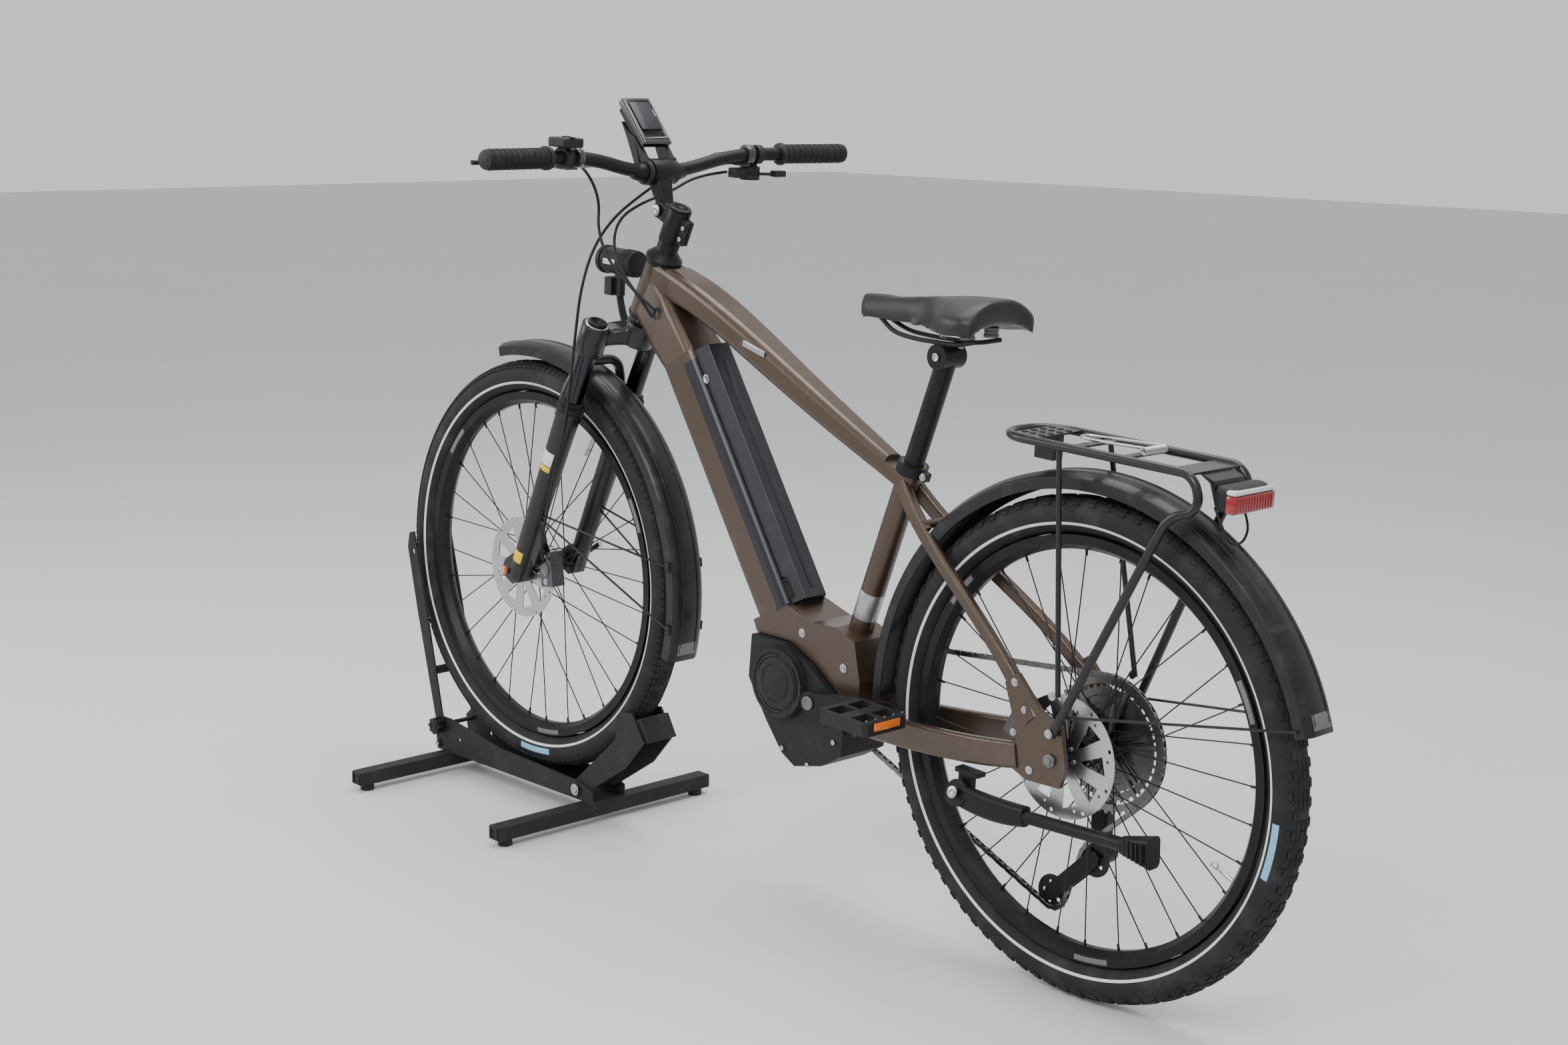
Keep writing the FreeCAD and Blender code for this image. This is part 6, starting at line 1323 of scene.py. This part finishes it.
class Seat:
    """The looks of the saddle, its elastomers, the post's clamp and the collar."""

    def __init__(self, shop: Shop, sizes: SaddleSizes) -> None:
        self.shop = shop
        self.sizes = sizes

    def half_width(self, share: float) -> float:
        """Half the saddle's width at a share of its length from the tail."""
        nose, tail = 0.020, self.sizes.width / 2
        flare = 1.0 / (1.0 + math.exp((share - 0.36) * 15.0))
        end = math.sqrt(max(0.0, 1.0 - ((0.12 - share) / 0.15) ** 2)) if share < 0.12 else 1.0
        tip = math.sqrt(max(0.0, 1.0 - ((share - 0.90) / 0.105) ** 2)) if share > 0.90 else 1.0
        return max(0.004, (nose + (tail - nose) * flare) * (0.45 + 0.55 * end) * tip)

    def saddle(self) -> None:
        """Padded saddle, blown up a little over its shell, with a channel down the middle."""
        shop, sizes = self.shop, self.sizes
        low_corner, high_corner = (Vector(corner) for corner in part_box("saddle"))
        length = high_corner.x - low_corner.x
        middle = (low_corner + high_corner) / 2
        shop.rest()
        bpy.ops.mesh.primitive_cube_add(size=1.0, location=middle, scale=(length - 0.012, 0.05, 0.026))
        piece = shop.own("saddle_cushion")
        shop.pick(piece, lambda face: True)
        bpy.ops.mesh.subdivide(number_cuts=15)
        bpy.ops.object.mode_set(mode="OBJECT")
        for vertex in piece.data.vertices:
            spot = vertex.co
            share = (spot.x - low_corner.x) / length
            across = (spot.y - middle.y) / 0.025
            half = self.half_width(share)
            up = (spot.z - middle.z) / 0.013
            crown = 0.012 * (1.0 - abs(across) ** 2.2) + 0.004 * math.cos((share - 0.1) * 3.6)
            channel = -0.006 * math.exp(-((across / 0.26) ** 2)) * (1.0 if 0.12 < share < 0.78 else 0.2)
            droop = -0.014 * abs(across) ** 2.4 * (0.4 + 0.6 * (1.0 - share))
            spot.y = middle.y + across * (half - 0.004)
            spot.z = middle.z + up * 0.011 + (crown + channel if up > 0 else crown * 0.4) + droop - 0.004
        self.inflate(piece)
        shop.focus(piece)
        bpy.ops.object.shade_smooth()
        self.fit(piece, low_corner, high_corner)
        shop.hand_in(piece, "vinyl", Body.SEAT, "saddle_skin", "saddle")

    def inflate(self, piece: bpy.types.Object) -> None:
        """Evens the mesh out and lets gentle pressure fill the cover."""
        shop = self.shop
        shop.modify(piece, "REMESH", mode="VOXEL", voxel_size=0.0045)
        rest = [vertex.co.copy() for vertex in piece.data.vertices]
        shop.focus(piece)
        cloth = piece.modifiers.new("cloth", "CLOTH")
        settings = cloth.settings
        settings.use_pressure = True
        settings.uniform_pressure_force = 4.0
        settings.effector_weights.gravity = 0.0
        settings.tension_stiffness = 40.0
        settings.compression_stiffness = 40.0
        settings.bending_stiffness = 4.0
        cloth.point_cache.frame_start = 1
        cloth.point_cache.frame_end = 20
        for frame in range(1, 21):
            bpy.context.scene.frame_set(frame)
        bpy.ops.object.modifier_apply(modifier="cloth")
        bpy.context.scene.frame_set(1)
        for vertex, start in zip(piece.data.vertices, rest):
            shift = vertex.co - start
            if shift.length > 0.004:
                vertex.co = start + shift.normalized() * 0.004
        shop.modify(piece, "SMOOTH", factor=0.5, iterations=6)
        shop.modify(piece, "SUBSURF", levels=1)

    def fit(self, piece: bpy.types.Object, low: Vector, high: Vector) -> None:
        """Scales the cushion into the saddle's own box."""
        shop = self.shop
        spots = [vertex.co for vertex in piece.data.vertices]
        for axis in range(3):
            start, end = min(spot[axis] for spot in spots), max(spot[axis] for spot in spots)
            ratio = (high[axis] - low[axis]) / (end - start)
            for spot in spots:
                spot[axis] = low[axis] + (spot[axis] - start) * ratio
        shop.focus(piece)

    def fittings(self) -> None:
        """Elastomers, the saddle clamp's bolts and the collar bolt."""
        shop, top = self.shop, self.sizes.top
        pads = []
        for side in (0.026, -0.026):
            spot = top + Vector((-0.062, side, 0.0445))
            for step in range(3):
                pads.append(shop.cylinder("elastomer", 0.0115 - 0.0008 * (step % 2), 0.0052,
                                          spot + UP * (0.0052 * step - 0.004), UP, 28, 0.0014))
        shop.hand_in(shop.join("saddle_elastomers", pads), "grey", Body.SEAT, "saddle_skin")
        bolts = []
        way = SEAT_TUBE.to_3x3() @ UP
        for forward in (0.020, -0.016):
            bolts.append(shop.bolt("clamp_bolt", SEAT_TUBE @ Vector((forward, 0, 0.5235)), way, 0.0042,
                                   0.004, True))
        for side in (1, -1):
            bolts.append(shop.bolt("yoke_bolt", SEAT_TUBE @ Vector((0.002, side * 0.0232, 0.500)),
                                   SIDE * side, 0.0062, 0.003))
        shop.hand_in(shop.join("seat_clamp_bolts", bolts), "steel", Body.SEAT, "black_anodised")
        collar = shop.bolt("collar_bolt", SEAT_TUBE @ Vector((-0.0285, 0.0066, 0.314)), SIDE, 0.0042, 0.003,
                           True)
        shop.hand_in(collar, "steel", Body.FRAME, "black_anodised")

    def build(self) -> None:
        """Builds the seat's pieces."""
        self.saddle()
        self.fittings()


# ---------------------------------------------------------------- rear accessories


class Rear:
    """The looks of the fenders' trim, the carrier's clip and wires, the tail light and the kickstand."""

    def __init__(self, shop: Shop) -> None:
        self.shop = shop

    def clip(self) -> None:
        """Spring clip: a wound coil with two long wire arms and a cross bar."""
        shop = self.shop
        turns, steps = 14, 12
        points = []
        for number in range(turns * steps + 1):
            angle = 2 * math.pi * number / steps
            side = 0.024 - 0.048 * number / (turns * steps)
            points.append(BIKE @ Vector((-0.070 + 0.0048 * math.cos(angle), side,
                                         0.4490 + 0.0048 * math.sin(angle))))
        coil = shop.cord("clip_coil", points, 0.0013)
        arm_points = [(-0.066, 0.020, 0.4530), (-0.020, 0.019, 0.4500), (0.030, 0.014, 0.4475),
                      (0.050, 0.011, 0.4470),
                      (0.054, 0.0, 0.4470), (0.050, -0.011, 0.4470), (0.030, -0.014, 0.4475),
                      (-0.020, -0.019, 0.4500),
                      (-0.066, -0.020, 0.4530)]
        arms = shop.cord("clip_arms", [BIKE @ Vector(point) for point in arm_points], 0.0022)
        shop.hand_in(shop.join("carrier_spring_clip", [coil, arms]), "steel", Body.CLIP, "bright_metal",
                     "carrier_clip")

    def carrier(self) -> None:
        """Holes in the deck plates, the carrier's bolts and the wire guard under the tail light."""
        shop = self.shop
        rings = []
        for forward in (0.104, 0.119, 0.134):
            for side in (-0.030, -0.010, 0.010, 0.030):
                spot = BIKE @ Vector((forward, side, 0.4423))
                ring = shop.cylinder("deck_ring", 0.0052, 0.0012, spot, BIKE.to_3x3() @ UP, 20, 0.0003)
                rings.append(ring)
        shop.hand_in(shop.join("deck_rings", rings), "motor", Body.FRAME, "carrier_black")
        bolts = []
        for side in (1, -1):
            for spot in ((-0.006, 0.0985, 0.044), (0.0, 0.0895, 0.096)):
                bolts.append(shop.bolt("carrier_bolt", BIKE @ Vector((spot[0], side * spot[1], spot[2])),
                                       SIDE * side,
                                       0.0045, 0.003, True))
        shop.hand_in(shop.join("carrier_bolts", bolts), "steel", Body.FRAME, "carrier_black")
        guard = [(-0.198, 0.030, 0.398), (-0.214, 0.030, 0.372), (-0.218, 0.018, 0.352), (-0.219, 0.0, 0.347),
                 (-0.218, -0.018, 0.352), (-0.214, -0.030, 0.372), (-0.198, -0.030, 0.398)]
        wire = shop.cord("tail_wire", [BIKE @ Vector(point) for point in guard], 0.0018)
        shop.hand_in(wire, "plastic", Body.FRAME, "carrier_black")

    def tail_light(self) -> None:
        """Red lens, clear strip and reflector ribs of the tail light."""
        shop = self.shop
        turn = BIKE.to_3x3().to_4x4()
        for name, finish, high, tall in (("lens", "red", 0.4085, 0.0250), ("strip", "clear", 0.4245, 0.0070)):
            plate = shop.block(f"tail_{name}", (0.016, 0.0915, tall),
                               Matrix.Translation(BIKE @ Vector((-0.2320, 0, high))) @ turn, 0.0030)
            shop.hand_in(plate, finish, Body.FRAME, "black_plastic")
        ribs = [shop.block("tail_rib", (0.0010, 0.0024, 0.019),
                           Matrix.Translation(BIKE @ Vector((-0.2402, 0.0062 * step, 0.4085))) @ turn, 0.0004)
                for step in range(-6, 7)]
        shop.hand_in(shop.join("tail_ribs", ribs), "red", Body.FRAME, "black_plastic")

    def fender_beads(self) -> None:
        """Two raised beads along each fender and the caps at their ends."""
        shop = self.shop
        spans = (("front", FRONT_AXLE, 77.0 + math.degrees(PITCH), 189.5 + math.degrees(PITCH), Body.SLIDER),
                 ("rear", REAR_AXLE, -1.5 + math.degrees(PITCH), 159.5 + math.degrees(PITCH), Body.FRAME))
        for end, axle, low, high, body in spans:
            beads = []
            for side in (0.0165, -0.0165):
                points = []
                for number in range(37):
                    bend = math.radians(low + (high - low) * number / 36)
                    points.append(axle + Vector((0.4021 * math.cos(bend), side, 0.4021 * math.sin(bend))))
                beads.append(shop.cord("bead", points, 0.0011))
            shop.hand_in(shop.join(f"{end}_fender_beads", beads), "fender", body, "fender_black")
            bend = math.radians(high - 0.6)
            spot = axle + Vector((0.4008 * math.cos(bend), 0, 0.4008 * math.sin(bend)))
            place = Matrix.Translation(spot) @ Matrix.Rotation(math.pi / 2 - bend, 4, "Y")
            cap = shop.block(f"{end}_fender_cap", (0.022, 0.040, 0.0030), place, 0.0012)
            shop.hand_in(cap, "grey", body, "fender_black")

    def stay_clips(self) -> None:
        """Clips and screws where the wire stays meet the front fender."""
        shop = self.shop
        blocks = []
        for bend in (184, 168):
            angle = math.radians(bend) + PITCH
            for side in (1, -1):
                spot = FRONT_AXLE + Vector((0.388 * math.cos(angle), side * 0.0355, 0.388 * math.sin(angle)))
                place = Matrix.Translation(spot) @ Matrix.Rotation(math.pi / 2 - angle, 4, "Y")
                blocks.append(shop.block("stay_clip", (0.016, 0.0052, 0.011), place, 0.0014))
        shop.hand_in(shop.join("stay_clips", blocks), "plastic", Body.SLIDER, "fender_black")

    def kickstand(self) -> None:
        """Pivot bolt and foot ribs of the kickstand."""
        shop = self.shop
        way = BIKE.to_3x3() @ Vector((0, math.cos(math.radians(17)), math.sin(math.radians(17))))
        pivot = Vector((-0.45356, 0.080, 0.28258))
        bolt = shop.bolt("kickstand_bolt", pivot + way * 0.0220, way, 0.0062, 0.003, True)
        shop.hand_in(bolt, "steel", Body.FRAME, "black_anodised")
        ribs = []
        for step in range(5):
            spot = BIKE @ Vector((0.160 - 0.310 - 0.0085 * step, 0.080 + 0.0057,
                                  -0.096 + 0.0165 + 0.0005 * step))
            turn = Vector((-1, 0, 0.07)).to_track_quat("Z", "Y").to_matrix().to_4x4()
            ribs.append(shop.block("foot_rib", (0.0245 + 0.0040 * step, 0.0232 + 0.0016 * step, 0.0026),
                                   Matrix.Translation(spot) @ turn, 0.0008))
        shop.hand_in(shop.join("kickstand_ribs", ribs), "rubber", Body.KICKSTAND, "black_anodised")

    def build(self) -> None:
        """Builds the rear accessories' pieces."""
        self.clip()
        self.carrier()
        self.tail_light()
        self.fender_beads()
        self.stay_clips()
        self.kickstand()


# ---------------------------------------------------------------- stand


class Stand:
    """The looks of the floor stand's plugs, bolts and knob, placed forward of the front axle."""

    CROSSBARS = (-0.172, 0.247)
    CRADLE_BOLT = -0.146
    CHANNEL_HEAD = 0.269

    def __init__(self, shop: Shop) -> None:
        self.shop = shop

    def build(self) -> None:
        """Builds the stand's pieces."""
        shop = self.shop
        plugs = []
        for forward in self.CROSSBARS:
            for side in (1, -1):
                place = Matrix.Translation((FRONT_AXLE.x + forward, side * 0.2398, 0.0245))
                plug = shop.block("bar_plug", (0.0285, 0.004, 0.0235), place, 0.0016)
                way = 0.95 * side
                shop.raise_faces(plug, lambda face, way=way: face.normal.y * way > 0.8, 0.004, -0.0008, False)
                plugs.append(plug)
        shop.hand_in(shop.join("crossbar_plugs", plugs), "plastic", Body.STAND, "stand_black")
        pivot = Vector((0.89685, 0, 0.087))
        cap = shop.cylinder("knob_cap", 0.0098, 0.0022, pivot + SIDE * 0.0597, SIDE, 36, 0.0008)
        shop.raise_faces(cap, shop.cap_faces(SIDE), 0.0030, -0.0008, False)
        shop.hand_in(cap, "motor", Body.KNOB, "black_plastic")
        bolts = []
        for side in (1, -1):
            bolts.append(shop.bolt("cradle_bolt", (FRONT_AXLE.x + self.CRADLE_BOLT, side * 0.0441, 0.056),
                                   SIDE * side, 0.0072, 0.0034, True))
        shop.hand_in(shop.join("cradle_bolts", bolts), "steel", Body.CRADLE, "stand_black")
        heads = []
        for side in (1, -1):
            heads.append(shop.bolt("channel_head", (FRONT_AXLE.x + self.CHANNEL_HEAD, side * 0.0432, 0.049),
                                   SIDE * side, 0.0046, 0.0024))
        shop.hand_in(shop.join("channel_heads", heads), "steel", Body.STAND, "stand_black")


# ---------------------------------------------------------------- finishes and studio


class CadFinishes:
    """Gives every node that stays its own finish and softened edges."""

    BY_SLOT = {
        "stand_black": "stand", "black_plastic": "plastic", "fork_black": "fork", "fork_tube": "stanchion",
        "bright_metal": "steel", "rotor_steel": "rotor", "fender_black": "fender", "caliper_grey": "caliper",
        "black_anodised": "anodised", "rubber_black": "rubber", "screen_gloss": "screen",
        "frame_paint": "frame",
        "battery_dark": "battery", "motor_black": "motor", "saddle_skin": "vinyl", "chain_steel": "chain",
        "carrier_black": "fork", "tyre_rubber": "tyre_front", "rim_black": "anodised",
    }
    BY_NODE = {"front_spokes": "spoke", "rear_spokes": "spoke", "rear_tyre": "tyre_rear"}
    SOFTENED = {
        "stand_channel": 0.0012, "stand_cradle": 0.0008, "stand_hoop": 0.0008, "stand_crossbars": 0.0012,
        "stand_knob": 0.0010, "fork_crown": 0.0030, "motor": 0.0040, "battery": 0.0016,
        "display_mount": 0.0012,
        "stem_arm": 0.0012, "stem_base": 0.0008, "cranks": 0.0022, "front_caliper": 0.0020,
        "rear_caliper": 0.0020,
        "pedal_left": 0.0012, "pedal_right": 0.0012, "brake_bodies": 0.0010, "shifter_body": 0.0012,
        "front_fender": 0.0006, "rear_fender": 0.0006, "kickstand_leg": 0.0012, "headlamp": 0.0010,
    }

    def __init__(self, shop: Shop, frame: dict) -> None:
        self.shop = shop
        self.frame = frame

    def build(self) -> None:
        """Paints every node; softens the ones that have sharp folded or cast edges."""
        slots = {entry["node"]: entry["material_slot"] for entry in self.frame["record"]["subparts"]}
        for name, node in self.frame["nodes"].items():
            finish = self.BY_NODE.get(name, self.BY_SLOT[slots[name]])
            material = self.shop.palette.get(finish)
            for slot in node.material_slots:
                slot.material = material
            if not node.material_slots:
                node.data.materials.append(material)
            if name in self.SOFTENED:
                weld = node.modifiers.new("weld", "WELD")
                weld.merge_threshold = 0.00002
                bevel = node.modifiers.new("bevel", "BEVEL")
                bevel.width = self.SOFTENED[name]
                bevel.segments = 2
                bevel.limit_method = "ANGLE"
                bevel.angle_limit = 0.75
                bevel.harden_normals = True
            log(f"{name}: {finish}")


@dataclass(frozen=True)
class Camera:
    """Where the camera stands and how it looks."""

    place: tuple[float, float, float] = (-2.61189, 2.52958, 1.31116)
    yaw: float = -0.7673
    down: float = 0.1913
    roll: float = 0.0153
    lens: float = 53.36

    def build(self) -> None:
        """Makes the camera and sets it as the scene's own."""
        ahead = Vector((math.cos(self.down) * math.cos(self.yaw), math.cos(self.down) * math.sin(self.yaw),
                        -math.sin(self.down)))
        right = Vector((math.sin(self.yaw), -math.cos(self.yaw), 0.0))
        up = right.cross(ahead)
        tilted = right * math.cos(self.roll) + up * math.sin(self.roll)
        above = up * math.cos(self.roll) - right * math.sin(self.roll)
        data = bpy.data.cameras.new("camera")
        data.lens = self.lens
        data.sensor_width = 36.0
        data.clip_end = 60.0
        camera = bpy.data.objects.new("camera", data)
        bpy.context.collection.objects.link(camera)
        turn = Matrix((tilted, above, -ahead)).transposed().to_4x4()
        camera.matrix_world = Matrix.Translation(self.place) @ turn
        bpy.context.scene.camera = camera


class Studio:
    """Plain floor and soft light."""

    def __init__(self, shop: Shop) -> None:
        self.shop = shop

    def lamp(self, name: str, place: Number3, target: Number3, power: float, wide: float) -> None:
        """One large soft lamp that faces a point."""
        data = bpy.data.lights.new(name, "AREA")
        data.energy = power
        data.shape = "RECTANGLE"
        data.size = wide
        data.size_y = wide * 0.7
        lamp = bpy.data.objects.new(name, data)
        bpy.context.collection.objects.link(lamp)
        lamp.location = place
        lamp.rotation_euler = (Vector(target) - Vector(place)).to_track_quat("-Z", "Y").to_euler()

    def build(self) -> None:
        """Builds the floor, the background light and three lamps."""
        self.shop.rest()
        bpy.ops.mesh.primitive_plane_add(size=40.0, location=(0, 0, -0.0005))
        floor = self.shop.own("floor")
        floor.data.materials.append(self.shop.palette.get("floor"))
        world = bpy.data.worlds.new("studio")
        world.use_nodes = True
        world.node_tree.nodes["Background"].inputs[0].default_value = (0.86, 0.88, 0.90, 1.0)
        world.node_tree.nodes["Background"].inputs[1].default_value = 0.95
        bpy.context.scene.world = world
        self.lamp("key", (-1.6, 3.2, 3.4), (0, 0, 0.6), 130.0, 2.6)
        self.lamp("fill", (2.8, 2.4, 2.0), (0.3, 0, 0.5), 60.0, 2.4)
        self.lamp("top", (0.0, -0.6, 3.8), (0, 0, 0.5), 110.0, 3.0)


def main() -> None:
    """Builds the whole scene."""
    Camera().build()
    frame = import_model()
    palette = Palette()
    shop = Shop(palette)
    CadFinishes(shop, frame).build()
    Wheel(shop, "front", Body.FRONT_WHEEL, WheelSizes(FRONT_AXLE)).build()
    Wheel(shop, "rear", Body.REAR_WHEEL, WheelSizes(REAR_AXLE, rotor_side=0.052, hub_half=0.074)).build()
    Cords(shop).build()
    Drive(shop, ChainSizes()).build()
    FrontEnd(shop).build()
    Cockpit(shop).build()
    FrameDetails(shop).build()
    Seat(shop, SaddleSizes()).build()
    Rear(shop).build()
    Stand(shop).build()
    Studio(shop).build()
    shop.rest()


if __name__ == "__main__":
    main()
